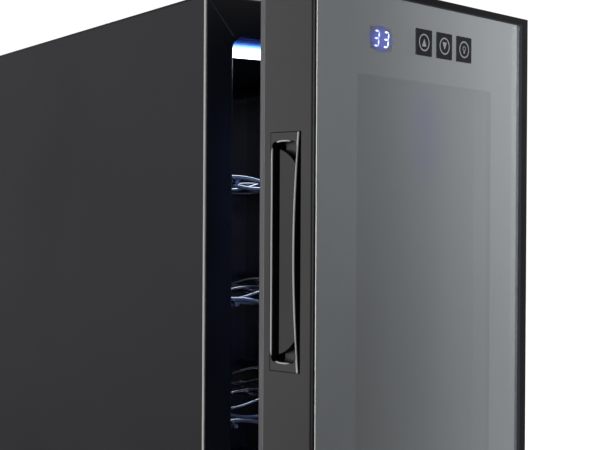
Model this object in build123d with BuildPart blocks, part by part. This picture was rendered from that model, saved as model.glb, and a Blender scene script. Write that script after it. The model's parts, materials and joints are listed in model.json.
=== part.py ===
"""Slim freestanding wine cooler with a right-hinged glass door, built as separate pieces.

Frame: +Z up, -Y the front, +X the hinge side, origin on the floor under the cabinet's middle.
The door's pieces are made closed and then turned about the hinge, so the cooler rests ajar.
"""

from build123d import *
import os

os.makedirs("parts", exist_ok=True)

# ---------------------------------------------------------------- driving dimensions, mm
cabinet_width = 258.0
cabinet_height = 640.0
cabinet_depth = 430.0
foot_height = 14.0

sheet = 1.2  # steel of the wrapper, pan and rear panel
sheet_bend = 3.0  # outer bend radius along the top edges
hem_round = 0.9  # rolled front edge of the wrapper
nest_gap = 0.1  # between sheets and mouldings that nest
rear_flange = 14.0  # wrapper's inward flange that takes the rear panel
flange_rise = 20.0  # foot of the flange above the wrapper's lower edge
pan_flange = 15.0

jamb = 24.2  # side of the cabinet to the opening
head = 28.8  # top of the cabinet to the opening
liner_floor = 53.0  # inside floor above the ground
opening_corner = 10.0
front_frame_depth = 8.0
front_frame_round = 2.5
mitre_width = 0.4
mitre_depth = 0.8

liner_wall = 2.0
liner_flange = 12.0
liner_depth = 330.0  # front plane to the inside back wall
foam_gap = 0.2  # between the foam and what it surrounds
foam_thickness = 30.0  # behind the liner
bulkhead_sheet = 1.0

row_count = 6  # bottle rows, the lowest on the liner floor
first_shelf = 151.0  # top of the lowest shelf's wires
row_pitch = 90.0
wire = 3.5  # diameter of the shelf wires
weld_gap = 0.02  # between the surfaces of crossing wires, at their welds
cradle_dip = 7.0
cross_wires = 7
cross_wire_pitch = 46.0
first_wire = 14.0  # front plane to the first cross wire
shelf_side_gap = 3.0
rail_gap = 0.05  # outer rails to the tips of the ledges
ledge_reach = 8.0
ledge_thickness = 4.0
keeper_thickness = 3.0
ledge_setback = 8.0
shelf_play = 0.3  # above and below the wires in their groove

door_gap = 8.0
door_thickness = 48.5
door_top_drop = 2.0  # cabinet top to door top
door_bottom = 18.0
door_round = 3.0
ajar_angle = 14.4

hinge_inset = 10.0  # pin to the door's hinge-side face
hinge_forward = 23.0  # pin in front of the cabinet
pin_radius = 4.0
pin_play = 0.05
pin_length = 16.0
bush_radius = 7.0
bush_flange = 1.2
bush_flange_radius = 9.0
bush_depth = 15.0
bush_end_gap = 2.0
bracket_sheet = 2.5
bracket_width = 26.0
bracket_reach = 43.0  # onto the cabinet
bracket_nose = 8.0
bracket_side_gap = 2.0
hinge_cover_height = 5.0

glass_thickness = 4.0
glass_proud = 0.8
glass_left_margin = 2.0
glass_right_margin = 14.9
glass_end_margin = 6.3
glass_gap = 0.25
glass_bevel = 4.5
glass_bevel_depth = 0.7
mask_thickness = 0.5
window_side_margin = 40.4
window_top_margin = 54.9
window_bottom_margin = 40.4
spacer_width = 8.0
spacer_depth = 12.0
spacer_inset = 2.0
inner_glass_thickness = 3.5
inner_glass_lap = 12.0
unit_gap = 1.0
trim_sheet = 3.0
trim_inset = 3.0
trim_corner = 2.0
trim_window_corner = 4.0
trim_round = 2.0
gasket_inset = 6.0
gasket_width = 12.0
gasket_clear = 0.3
gasket_corner = 6.0
gasket_inner_corner = 2.0
gasket_round = 2.5

handle_height = 158.0
handle_low = 378.0
handle_back_inset = 9.4  # door back to the handle pocket
handle_width = 27.1
handle_depth = 22.0
handle_fit = 0.2
handle_front_gap = 2.0  # pocket's front edge to the plate's ends
handle_bow = 4.0  # how far the grip edge bows away from the door's front
grip_wall = 1.4
recess_end = 6.0
recess_back_wall = 1.0
recess_corner = 8.0
slot_width = 6.3
slot_depth = 18.0
shelf_of_grip_front = 2.4  # thumb face below the plate, at the bowed edge
shelf_of_grip_back = 1.0  # and where it meets the slot
end_floor_depth = 7.0
handle_edge_round = 0.45

display_centre = -57.0
display_width = 26.0
display_height = 16.0
display_depth = 8.0
controls_drop = 33.0  # door top to the middle of the keys
key_width = 18.8
key_height = 18.8
key_pitch = 24.8
key_middle = 12.4
key_thickness = 0.4
key_corner = 0.8
controls_pocket_height = 24.0
controls_pocket_depth = 14.0
controls_pocket_margin = 8.0
board_thickness = 1.6
module_setback = 0.2  # behind the print mask
module_corner = 1.0
board_setback = 10.0
board_margin = 2.0
spring_radius = 5.0
spring_bore = 3.8
spring_cap = 1.8

cooling_height = 330.0  # middle of the thermoelectric unit
cold_sink_size = 98.0
cold_fin_depth = 22.0
cold_base = 6.0
cold_block_depth = 13.2  # carries the cold through the foam
sink_window = 102.0
module_size = 40.0
module_thickness = 3.8
module_window = 44.0
cold_fan_size = 80.0
cold_fan_depth = 15.0
cover_width = 130.0
cover_height = 150.0
cover_depth = 33.0
cover_wall = 2.0
hot_sink_width = 110.0
hot_sink_height = 140.0
hot_base = 6.0
hot_fin_depth = 32.0
hot_fan_size = 92.0
hot_fan_depth = 24.0
fin_thickness = 1.4
fin_pitch = 4.6
fan_seat_gap = 0.5

grille_width = 180.0
grille_height = 200.0
grille_depth = 24.0

lamp_side_gap = 6.8  # lens to each side wall of the liner
lamp_depth = 59.0
lamp_setback = 38.0  # front plane to the lamp's lens
lamp_tray_height = 14.0
lens_drop = 1.5
lens_fit = 0.2
lens_round = 1.0

# ---------------------------------------------------------------- derived places
half_width = cabinet_width / 2
front = -cabinet_depth / 2
back = cabinet_depth / 2
inner_half = half_width - sheet - nest_gap
inner_top = cabinet_height - sheet - nest_gap
pan_top = foot_height + sheet
inner_bottom = pan_top + nest_gap

opening_half = half_width - jamb
opening_top = cabinet_height - head
front_frame_back = front + front_frame_depth
liner_inside_back = front + liner_depth
liner_back = liner_inside_back + liner_wall
foam_front = front_frame_back + liner_wall + foam_gap
bulkhead_front = liner_back + foam_thickness
bulkhead_back = bulkhead_front + bulkhead_sheet
rear_panel_front = back - sheet

door_back = front - door_gap
door_front = door_back - door_thickness
frame_front = door_front + glass_proud
door_top = cabinet_height - door_top_drop
glass_left = -half_width + glass_left_margin
glass_right = half_width - glass_right_margin
glass_top = door_top - glass_end_margin
glass_bottom = door_bottom + glass_end_margin
glass_back = door_front + glass_thickness
mask_back = glass_back + mask_thickness
window_left = glass_left + window_side_margin
window_right = glass_right - window_side_margin
window_top = glass_top - window_top_margin
window_bottom = glass_bottom + window_bottom_margin
spacer_back = mask_back + spacer_depth
inner_glass_back = spacer_back + inner_glass_thickness
trim_front = door_back - trim_sheet

hinge_x = half_width - hinge_inset
hinge_y = front - hinge_forward
hinge_axis = Axis((hinge_x, hinge_y, 0), (0, 0, 1))

shelf_half = opening_half - shelf_side_gap
lamp_width = 2 * (opening_half - lamp_side_gap)
column_pitch = opening_half - ledge_reach - rail_gap - wire / 2
controls_height = door_top - controls_drop

module_back = bulkhead_back
module_front = module_back - module_thickness
cold_base_back = module_front - cold_block_depth
cold_base_front = cold_base_back - cold_base
cold_fin_front = cold_base_front - cold_fin_depth
cold_fan_back = cold_fin_front - fan_seat_gap
cover_front = liner_inside_back - cover_depth
hot_fin_back = bulkhead_back + hot_base + hot_fin_depth
hot_fan_back = hot_fin_back + fan_seat_gap + hot_fan_depth


# ---------------------------------------------------------------- helpers
def upright(y):
    """A plane across the cooler at depth y, seen from the front; extruding from it goes forwards."""
    return Plane.XZ.offset(-y)


def outline(left, right, low, high, corner=0.0, mode=Mode.ADD):
    """A rectangle between its edges, in the current sketch."""
    with Locations(((left + right) / 2, (low + high) / 2)):
        if corner > 0:
            RectangleRounded(right - left, high - low, corner, mode=mode)
        else:
            Rectangle(right - left, high - low, mode=mode)


def block(left, right, near, far, low, high, mode=Mode.ADD):
    """A box between its faces; near is its front and far its back."""
    with Locations(((left + right) / 2, (near + far) / 2, (low + high) / 2)):
        Box(right - left, far - near, high - low, mode=mode)


def save(piece, name):
    """Label a finished piece and write it to its own file."""
    piece.part.label = name
    export_step(piece.part, f"parts/{name}.step")


def save_on_door(piece, name):
    """Turn a door piece from closed to ajar about the hinge, then write it."""
    piece.part = piece.part.rotate(hinge_axis, ajar_angle)
    save(piece, name)


# Fasteners are made once, head up at the origin, and copied into their groups.
screw_radius = 1.6
screw_hole = 1.8
head_radius = 3.2
countersunk_height = 2.0
screw_length = 9.0
pan_head_height = 1.8
slot_cut = 0.7
slot_reach = 2.4 * screw_radius
slot_sink = 0.9
seat_clear = 0.2  # countersink round the head

with BuildPart() as countersunk_screw:
    Cylinder(screw_radius, screw_length, align=(Align.CENTER, Align.CENTER, Align.MAX))
    Cone(screw_radius, head_radius, countersunk_height, align=(Align.CENTER, Align.CENTER, Align.MAX))
    for turn in (0, 90):
        Box(slot_reach, slot_cut, slot_sink, rotation=(0, 0, turn),
            align=(Align.CENTER, Align.CENTER, Align.MAX), mode=Mode.SUBTRACT)

with BuildPart() as pan_screw:
    Cylinder(screw_radius, screw_length, align=(Align.CENTER, Align.CENTER, Align.MAX))
    Cylinder(head_radius, pan_head_height, align=(Align.CENTER, Align.CENTER, Align.MIN))
    fillet(pan_screw.faces().sort_by(Axis.Z)[-1].edges(), radius=0.8)
    for turn in (0, 90):
        with Locations((0, 0, pan_head_height)):
            Box(slot_reach, slot_cut, slot_sink, rotation=(0, 0, turn),
                align=(Align.CENTER, Align.CENTER, Align.MAX), mode=Mode.SUBTRACT)

upwards = (0, 0, 0)
downwards = (180, 0, 0)
rearwards = (-90, 0, 0)


def facing(places, turn):
    """The same spot list, each with its screw head pointing the given way."""
    return [Location(place, turn) for place in places]


def drill(places, turn, radius=screw_hole, depth=2 * screw_length):
    """Clearance holes centred on the screws' spots."""
    with Locations(*facing(places, turn)):
        Cylinder(radius, depth, mode=Mode.SUBTRACT)


def countersink(places, turn):
    """Clearance holes with a cone that seats a countersunk head."""
    drill(places, turn)
    with Locations(*facing(places, turn)):
        Cone(screw_hole, head_radius + seat_clear, countersunk_height,
             align=(Align.CENTER, Align.CENTER, Align.MAX), mode=Mode.SUBTRACT)


# Screw places
bracket_screw_inset = 7.0
bracket_screw_rows = (8.0, 26.0)  # in front of the hinge plate's back edge
rear_screw_low = 60.0
rear_screw_drop = 40.0
grille_screw_inset = 7.0
trim_screw_clear = 6.0  # beside the gasket
trim_screw_levels = (200.0, 340.0)
trim_screw_rise = 24.0
trim_screw_drop = 30.0
bracket_left = half_width - bracket_side_gap - bracket_width
bracket_right = half_width - bracket_side_gap
bracket_back = front + bracket_reach
bracket_screw_x = (bracket_left + bracket_screw_inset, bracket_right - bracket_screw_inset)
bracket_screw_y = [bracket_back - row for row in bracket_screw_rows]
top_bracket_top = cabinet_height + bracket_sheet
bottom_bracket_low = foot_height - bracket_sheet
top_hinge_spots = [(x, y, top_bracket_top) for x in bracket_screw_x for y in bracket_screw_y]
bottom_hinge_spots = [(x, y, bottom_bracket_low) for x in bracket_screw_x for y in bracket_screw_y]

rear_screw_x = half_width - sheet - rear_flange / 2
rear_spots = [(side * rear_screw_x, back, z)
              for side in (-1, 1)
              for z in (rear_screw_low, cabinet_height / 2, cabinet_height - rear_screw_drop)]
grille_screw_x = grille_width / 2 - grille_screw_inset
grille_screw_z = grille_height / 2 - grille_screw_inset
grille_spots = [(x, back + grille_depth, cooling_height + z)
                for x in (-grille_screw_x, grille_screw_x)
                for z in (-grille_screw_z, grille_screw_z)]
trim_screw_x = gasket_inset + gasket_width + trim_screw_clear
trim_spots = [(side * (half_width - trim_screw_x), door_back, z)
              for side in (-1, 1)
              for z in (door_bottom + trim_screw_rise, *trim_screw_levels, door_top - trim_screw_drop)]

foot_side_inset = 29.0
foot_front_inset = 65.0
foot_back_inset = 30.0
foot_radius = 15.0
foot_taper = 2.0
stud_radius = 4.0
stud_reach = 16.0  # above the pan's underside
stud_gap = 0.3
foot_x = half_width - foot_side_inset
front_foot_y = front + foot_front_inset
rear_foot_y = back - foot_back_inset
stud_top = foot_height + stud_reach

# ---------------------------------------------------------------- cabinet shell
with BuildPart() as outer_wrapper:
    with BuildSketch(upright(back)) as shell_section:
        outline(-half_width, half_width, foot_height, cabinet_height)
        fillet(shell_section.vertices().group_by(Axis.Y)[-1], radius=sheet_bend)
    extrude(amount=cabinet_depth)
    with BuildSketch(upright(back)) as shell_inside:
        outline(-half_width + sheet, half_width - sheet, 0, cabinet_height - sheet)
        fillet(shell_inside.vertices().group_by(Axis.Y)[-1], radius=sheet_bend - sheet)
    extrude(amount=cabinet_depth, mode=Mode.SUBTRACT)
    # Inward flange at the back that the rear panel screws to
    with BuildSketch(upright(rear_panel_front - nest_gap)) as flange:
        outline(-half_width + sheet / 2, half_width - sheet / 2, foot_height + flange_rise,
                cabinet_height - sheet / 2)
        outline(-half_width + rear_flange, half_width - rear_flange, 0,
                cabinet_height - rear_flange, mode=Mode.SUBTRACT)
    extrude(amount=sheet)
    # Rolled hem round the front
    hem = outer_wrapper.edges().filter_by_position(Axis.Y, front, front)
    fillet([edge for edge in hem
            if edge.center().Z > pan_top
            and (abs(edge.center().X) > half_width - sheet + 0.01
                 or edge.center().Z > cabinet_height - sheet + 0.01)], radius=hem_round)
    drill(top_hinge_spots, upwards)
    drill(rear_spots, rearwards)
save(outer_wrapper, "outer_wrapper")

with BuildPart() as base_pan:
    block(-inner_half, inner_half, front + nest_gap, rear_panel_front - 2 * sheet, foot_height, pan_top)
    for side in (-1, 1):
        flange_middle = side * (inner_half - sheet / 2)
        block(flange_middle - sheet / 2, flange_middle + sheet / 2, front_frame_back + liner_wall + nest_gap,
              rear_panel_front - 2 * sheet, foot_height, pan_top + pan_flange)
    with Locations(*[(x, y, foot_height) for x in (-foot_x, foot_x) for y in (front_foot_y, rear_foot_y)]):
        Cylinder(stud_radius + stud_gap, 4 * sheet, mode=Mode.SUBTRACT)
    drill(bottom_hinge_spots, downwards)
save(base_pan, "base_pan")

with BuildPart() as front_frame:
    with BuildSketch(upright(front_frame_back)) as face:
        outline(-inner_half, inner_half, inner_bottom, inner_top)
        fillet(face.vertices().group_by(Axis.Y)[-1], radius=sheet_bend - sheet)
        outline(-opening_half, opening_half, liner_floor, opening_top, opening_corner, Mode.SUBTRACT)
    extrude(amount=front_frame_depth)
    mouth = front_frame.faces().filter_by(Axis.Y).sort_by(Axis.Y)[0]
    fillet(mouth.inner_wires()[0].edges(), radius=front_frame_round)
    # Mitre seams from each outer corner to the opening's corner
    with BuildSketch(upright(front + mitre_depth)):
        with BuildLine():
            for side in (-1, 1):
                for outer, inner in ((inner_top, opening_top), (inner_bottom, liner_floor)):
                    Line((side * (inner_half - sheet), outer), (side * opening_half, inner))
        trace(line_width=mitre_width)
    extrude(amount=mitre_depth, mode=Mode.SUBTRACT)
save(front_frame, "front_frame")

lamp_front = front + lamp_setback
lamp_back = lamp_front + lamp_depth
shelf_tops = [first_shelf + level * row_pitch for level in range(row_count - 1)]

with BuildPart() as inner_liner:
    with BuildSketch(upright(liner_back)):
        outline(-opening_half - liner_wall, opening_half + liner_wall, liner_floor - liner_wall,
                opening_top + liner_wall, opening_corner + liner_wall)
    extrude(amount=liner_back - front_frame_back)
    with BuildSketch(upright(front_frame_back + liner_wall)):
        outline(-opening_half - liner_flange, opening_half + liner_flange, liner_floor - liner_flange,
                opening_top + liner_flange, opening_corner + liner_flange)
    extrude(amount=liner_wall)
    with BuildSketch(upright(liner_inside_back)):
        outline(-opening_half, opening_half, liner_floor, opening_top, opening_corner)
    extrude(amount=liner_depth, mode=Mode.SUBTRACT)
    # A ledge under and a keeper above the wire ends, moulded into each side wall
    for top in shelf_tops:
        ledge_top = top - wire - shelf_play
        keeper_low = top + shelf_play
        for side in (-1, 1):
            wall_x = side * (opening_half + liner_wall / 2)
            tip_x = side * (opening_half - ledge_reach)
            left, right = min(wall_x, tip_x), max(wall_x, tip_x)
            block(left, right, front_frame_back + ledge_setback, liner_inside_back + liner_wall / 2,
                  ledge_top - ledge_thickness, ledge_top)
            block(left, right, front_frame_back + ledge_setback, liner_inside_back + liner_wall / 2,
                  keeper_low, keeper_low + keeper_thickness)
    # Windows for the cold sink and for the lamp's lens
    block(-sink_window / 2, sink_window / 2, liner_inside_back - 1, liner_back + 1,
          cooling_height - sink_window / 2, cooling_height + sink_window / 2, Mode.SUBTRACT)
    block(-lamp_width / 2, lamp_width / 2, lamp_front, lamp_back,
          opening_top - 1, opening_top + liner_wall + 1, Mode.SUBTRACT)
save(inner_liner, "inner_liner")

lamp_tray_lap = 2.0
lamp_tray_wall = 2.0
lamp_tray_top = opening_top + liner_wall + lamp_tray_height
foam_screw_clear = 0.4
foam_stud_clear = 1.0

with BuildPart() as insulation_foam:
    with BuildSketch(upright(bulkhead_front)):
        outline(-inner_half, inner_half, inner_bottom, inner_top, sheet_bend)
    extrude(amount=bulkhead_front - foam_front)
    hollow = liner_wall + foam_gap
    with BuildSketch(upright(liner_back + foam_gap)):
        outline(-opening_half - hollow, opening_half + hollow, liner_floor - hollow,
                opening_top + hollow, opening_corner + hollow)
    extrude(amount=liner_back - front, mode=Mode.SUBTRACT)
    # Room for the pan's flanges, the cold sink, the lamp tray, the studs and the screws
    for side in (-1, 1):
        flange_middle = side * (inner_half - sheet / 2)
        block(flange_middle - sheet, flange_middle + sheet, front, back, 0,
              pan_top + pan_flange + nest_gap, Mode.SUBTRACT)
    block(-sink_window / 2, sink_window / 2, liner_back - 1, bulkhead_front + 1,
          cooling_height - sink_window / 2, cooling_height + sink_window / 2, Mode.SUBTRACT)
    tray_half = lamp_width / 2 + lamp_tray_lap + foam_gap
    block(-tray_half, tray_half, lamp_front - lamp_tray_lap - foam_gap, lamp_back + lamp_tray_lap + foam_gap,
          opening_top, lamp_tray_top + foam_gap, Mode.SUBTRACT)
    with Locations(*[(x, front_foot_y, foot_height) for x in (-foot_x, foot_x)]):
        Cylinder(stud_radius + 2 * stud_gap, 2 * (stud_top - foot_height + foam_stud_clear),
                 mode=Mode.SUBTRACT)
    drill(top_hinge_spots, upwards, screw_hole + foam_screw_clear, 2 * screw_length + foam_stud_clear)
    drill(bottom_hinge_spots, downwards, screw_hole + foam_screw_clear, 2 * screw_length + foam_stud_clear)
save(insulation_foam, "insulation_foam")

with BuildPart() as rear_bulkhead:
    block(-inner_half + sheet + nest_gap, inner_half - sheet - nest_gap, bulkhead_front, bulkhead_back,
          inner_bottom, inner_top)
    block(-module_window / 2, module_window / 2, bulkhead_front - 1, bulkhead_back + 1,
          cooling_height - module_window / 2, cooling_height + module_window / 2, Mode.SUBTRACT)
save(rear_bulkhead, "rear_bulkhead")

inlet_x = -80.0
inlet_z = 62.0
inlet_width = 30.0
inlet_height = 23.0
inlet_body_depth = 20.0
inlet_flange = 3.0
inlet_fit = 0.3
inlet_wall = 2.0
inlet_side_lap = 4.0
inlet_end_lap = 3.0
inlet_floor = 3.0
blade_width = 2.0
blade_height = 4.0
blade_length = 14.0
blade_setback = 9.0  # blade's middle from the inlet's inner end
blade_spots = ((0, 5.0), (-7.0, 3.0), (7.0, 3.0))
exhaust_radius = hot_fan_size / 2 - 2.0
intake_rows = 6
intake_pitch = 9.0
intake_width = 120.0
intake_slot = 4.0
intake_low = 150.0  # lowest slot of the lower group
intake_drop = 120.0  # cabinet top to the lowest slot of the upper group

with BuildPart() as rear_panel:
    with BuildSketch(upright(back)) as panel_face:
        outline(-inner_half, inner_half, inner_bottom, inner_top)
        fillet(panel_face.vertices().group_by(Axis.Y)[-1], radius=sheet_bend)
    extrude(amount=sheet)
    with Locations(Location((0, back, cooling_height), rearwards)):
        Cylinder(exhaust_radius, 4 * sheet, mode=Mode.SUBTRACT)
    # Air intake slots below and above the exhaust
    for level in (intake_low, cabinet_height - intake_drop):
        for row in range(intake_rows):
            with Locations((0, back, level + row * intake_pitch)):
                Box(intake_width, 4 * sheet, intake_slot, mode=Mode.SUBTRACT)
    block(inlet_x - inlet_width / 2, inlet_x + inlet_width / 2, rear_panel_front - 1, back + 1,
          inlet_z - inlet_height / 2, inlet_z + inlet_height / 2, Mode.SUBTRACT)
    drill(rear_spots, rearwards)
    drill([(x, back, z) for x, _, z in grille_spots], rearwards)
save(rear_panel, "rear_panel")

louvre_pitch = 11.0
louvre_count = 15
louvre_slot = 5.0
louvre_margin = 20.0
grille_wall = 2.5
grille_corner = 8.0
grille_round = 3.0
post_wall = 1.5
post_floor = 4.0  # thickness under each screw's head
head_clear = 0.3
with BuildPart() as rear_grille:
    block(-grille_width / 2, grille_width / 2, back, back + grille_depth,
          cooling_height - grille_height / 2, cooling_height + grille_height / 2)
    fillet(rear_grille.edges().filter_by(Axis.Y), radius=grille_corner)
    fillet(rear_grille.faces().sort_by(Axis.Y)[-1].edges(), radius=grille_round)
    inside_half = grille_width / 2 - grille_wall
    block(-inside_half, inside_half, back, back + grille_depth - grille_wall,
          cooling_height - grille_height / 2 + grille_wall, cooling_height + grille_height / 2 - grille_wall,
          Mode.SUBTRACT)
    with Locations((0, back + grille_depth, cooling_height)):
        for row in range(louvre_count):
            with Locations((0, 0, (row - (louvre_count - 1) / 2) * louvre_pitch)):
                Box(grille_width - 2 * louvre_margin, 4 * grille_wall, louvre_slot, mode=Mode.SUBTRACT)
    # Screw posts at the corners
    for x, _, z in grille_spots:
        with Locations(Location((x, back, z), rearwards)):
            Cylinder(head_radius + post_wall, grille_depth - grille_wall / 2,
                     align=(Align.CENTER, Align.CENTER, Align.MIN))
    drill(grille_spots, rearwards, depth=3 * grille_depth)
    with Locations(*facing(grille_spots, rearwards)):
        Cylinder(head_radius + head_clear, 2 * (grille_depth - post_floor), mode=Mode.SUBTRACT)
save(rear_grille, "rear_grille")

with BuildPart() as rear_screws:
    with Locations(*facing(rear_spots, rearwards)):
        add(pan_screw.part)
save(rear_screws, "rear_screws")

with BuildPart() as grille_screws:
    with Locations(*facing([(x, back + post_floor, z) for x, _, z in grille_spots], rearwards)):
        add(pan_screw.part)
save(grille_screws, "grille_screws")


def make_feet(y):
    """Two rubber feet on threaded studs, at one distance from the front."""
    with BuildPart() as feet:
        with Locations((-foot_x, y, 0), (foot_x, y, 0)):
            Cone(foot_radius - foot_taper, foot_radius, foot_height - nest_gap,
                 align=(Align.CENTER, Align.CENTER, Align.MIN))
            Cylinder(stud_radius, stud_top, align=(Align.CENTER, Align.CENTER, Align.MIN))
    return feet


save(make_feet(front_foot_y), "front_feet")
save(make_feet(rear_foot_y), "rear_feet")

# ---------------------------------------------------------------- shelves
# Each cross wire is a chain of equal tangent arcs that cradles two bottles.
wire_radius = wire / 2
with BuildPart() as cross_wire:
    with BuildLine(upright(0)) as wave:
        start = Line((-shelf_half, 0), (-column_pitch, 0))
        tangent = (1, 0)
        last = start
        quarter = column_pitch / 4
        heights = (0, -cradle_dip / 2, -cradle_dip, -cradle_dip / 2)
        for step in range(8):
            last = TangentArc((-column_pitch + step * quarter, heights[step % 4]),
                              (-column_pitch + (step + 1) * quarter, heights[(step + 1) % 4]),
                              tangent=last % 1)
        Line((column_pitch, 0), (shelf_half, 0))
    with BuildSketch(Plane(origin=wave.line @ 0, z_dir=wave.line % 0)):
        Circle(wire_radius)
    sweep(path=wave.line)

# The wires stay separate solids that meet at their welds.
shelf_length = (cross_wires - 1) * cross_wire_pitch
with BuildPart() as shelf:
    for index in range(cross_wires):
        with Locations((0, front + first_wire + index * cross_wire_pitch, -wire_radius)):
            add(cross_wire.part)
    with Locations(*[Location((x, front + first_wire - wire, -wire_radius - wire - weld_gap), rearwards)
                     for x in (-column_pitch, 0, column_pitch)]):
        Cylinder(wire_radius, shelf_length + 2 * wire, align=(Align.CENTER, Align.CENTER, Align.MIN))

for number, top in enumerate(shelf_tops, start=1):
    with BuildPart() as placed_shelf:
        with Locations((0, 0, top)):
            add(shelf.part)
    save(placed_shelf, f"shelf_{number}")

# ---------------------------------------------------------------- cooling unit
motor_radius = 16.0
shaft_radius = 1.5
shaft_play = 0.05
strut_depth = 3.0
rotor_gap = 1.0
blade_gap = 1.5
fan_rim = 2.0
fan_corner = 4.0
fan_screw_inset = 4.5
strut_width = 5.0
shaft_share = 0.6  # of the depth in front of the struts
blade_sheet = 1.4
blade_pitch = 38
blade_lap = 3.0  # blade roots into the hub
hub_step = 0.5


def make_fan_frame(size, depth, back_y):
    """Square axial fan housing with a motor plate, four struts and a stub shaft."""
    bore = size / 2 - fan_rim
    with BuildPart() as housing:
        with BuildSketch(upright(back_y)):
            with Locations((0, cooling_height)):
                RectangleRounded(size, size, fan_corner)
                Circle(bore, mode=Mode.SUBTRACT)
                with GridLocations(size - 2 * fan_screw_inset, size - 2 * fan_screw_inset, 2, 2):
                    Circle(screw_hole, mode=Mode.SUBTRACT)
        extrude(amount=depth)
        with BuildSketch(upright(back_y)):
            with Locations((0, cooling_height)):
                Circle(motor_radius)
                for turn in (45, 135):
                    Rectangle(2 * bore + fan_rim / 2, strut_width, rotation=turn)
        extrude(amount=strut_depth)
        with BuildSketch(upright(back_y)):
            with Locations((0, cooling_height)):
                Circle(shaft_radius)
        extrude(amount=strut_depth + shaft_share * (depth - strut_depth))
    return housing


def make_fan_rotor(size, depth, back_y, blades=7):
    """Hub with pitched blades that turns on the housing's stub shaft."""
    tip = size / 2 - fan_rim - blade_gap
    rotor_depth = depth - strut_depth - 2 * rotor_gap
    hub_back = back_y - strut_depth - rotor_gap
    with BuildPart(upright(hub_back)) as rotor:
        with Locations((0, cooling_height, rotor_depth / 2)):
            with PolarLocations((tip + motor_radius) / 2, blades):
                Box(tip - motor_radius + 2 * blade_lap, blade_sheet, rotor_depth,
                    rotation=(blade_pitch, 0, 0))
            Cylinder(tip, rotor_depth, mode=Mode.INTERSECT)
            Cylinder(motor_radius - hub_step, rotor_depth)
        with Locations((0, cooling_height, 0)):
            Cylinder(shaft_radius + shaft_play, shaft_share * (depth - strut_depth) - rotor_gap + hub_step,
                     align=(Align.CENTER, Align.CENTER, Align.MIN), mode=Mode.SUBTRACT)
    return rotor


save(make_fan_frame(cold_fan_size, cold_fan_depth, cold_fan_back), "cold_fan_frame")
save(make_fan_rotor(cold_fan_size, cold_fan_depth, cold_fan_back), "cold_fan_rotor")
save(make_fan_frame(hot_fan_size, hot_fan_depth, hot_fan_back), "hot_fan_frame")
save(make_fan_rotor(hot_fan_size, hot_fan_depth, hot_fan_back), "hot_fan_rotor")


def make_heat_sink(width, height, base_front, base_back, fin_end):
    """Extruded heat sink: a base plate with upright fins that end at fin_end."""
    with BuildPart() as sink:
        block(-width / 2, width / 2, base_front, base_back,
              cooling_height - height / 2, cooling_height + height / 2)
        near, far = min(fin_end, base_front), max(fin_end, base_back)
        fins = int((width - fin_thickness) // fin_pitch) + 1
        with Locations((0, (near + far) / 2, cooling_height)):
            with GridLocations(fin_pitch, 1.0, fins, 1):
                Box(fin_thickness, far - near, height)
    return sink


save(make_heat_sink(cold_sink_size, cold_sink_size, cold_base_front, cold_base_back, cold_fin_front),
     "cold_sink")
save(make_heat_sink(hot_sink_width, hot_sink_height, bulkhead_back, bulkhead_back + hot_base, hot_fin_back),
     "hot_heat_sink")

with BuildPart() as cold_block:
    block(-module_size / 2, module_size / 2, cold_base_back, module_front,
          cooling_height - module_size / 2, cooling_height + module_size / 2)
save(cold_block, "cold_block")

with BuildPart() as peltier_module:
    block(-module_size / 2, module_size / 2, module_front, module_back,
          cooling_height - module_size / 2, cooling_height + module_size / 2)
save(peltier_module, "peltier_module")

cover_slots = 11
cover_slot_pitch = 10.0
cover_slot = 5.0
cover_slot_margin = 18.0
cover_corner = 8.0
cover_round = 2.5
with BuildPart() as cold_fan_cover:
    block(-cover_width / 2, cover_width / 2, cover_front, liner_inside_back,
          cooling_height - cover_height / 2, cooling_height + cover_height / 2)
    fillet(cold_fan_cover.edges().filter_by(Axis.Y), radius=cover_corner)
    fillet(cold_fan_cover.faces().sort_by(Axis.Y)[0].edges(), radius=cover_round)
    block(-cover_width / 2 + cover_wall, cover_width / 2 - cover_wall, cover_front + cover_wall,
          liner_inside_back, cooling_height - cover_height / 2 + cover_wall,
          cooling_height + cover_height / 2 - cover_wall, Mode.SUBTRACT)
    with Locations((0, cover_front, cooling_height)):
        for row in range(cover_slots):
            with Locations((0, 0, (row - (cover_slots - 1) / 2) * cover_slot_pitch)):
                Box(cover_width - 2 * cover_slot_margin, 4 * cover_wall, cover_slot, mode=Mode.SUBTRACT)
save(cold_fan_cover, "cold_fan_cover")

guard_wire = 1.6
guard_rings = (14.0, 24.0, 34.0, 44.0)
guard_reach = 50.0
with BuildPart() as fan_guard:
    with BuildSketch(upright(back + guard_wire)):
        with Locations((0, cooling_height)):
            for ring in guard_rings:
                Circle(ring + guard_wire / 2)
                Circle(ring - guard_wire / 2, mode=Mode.SUBTRACT)
            for turn in (0, 90):
                Rectangle(2 * guard_reach, guard_wire, rotation=turn)
    extrude(amount=guard_wire)
save(fan_guard, "fan_guard")

with BuildPart() as fan_screws:
    for size, depth, back_y in ((cold_fan_size, cold_fan_depth, cold_fan_back),
                                (hot_fan_size, hot_fan_depth, hot_fan_back)):
        offset_from_middle = size / 2 - fan_screw_inset
        for x in (-offset_from_middle, offset_from_middle):
            for z in (-offset_from_middle, offset_from_middle):
                with Locations(Location((x, back_y, cooling_height + z), rearwards)):
                    Cylinder(screw_radius, depth, align=(Align.CENTER, Align.CENTER, Align.MAX))
save(fan_screws, "fan_screws")

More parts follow.
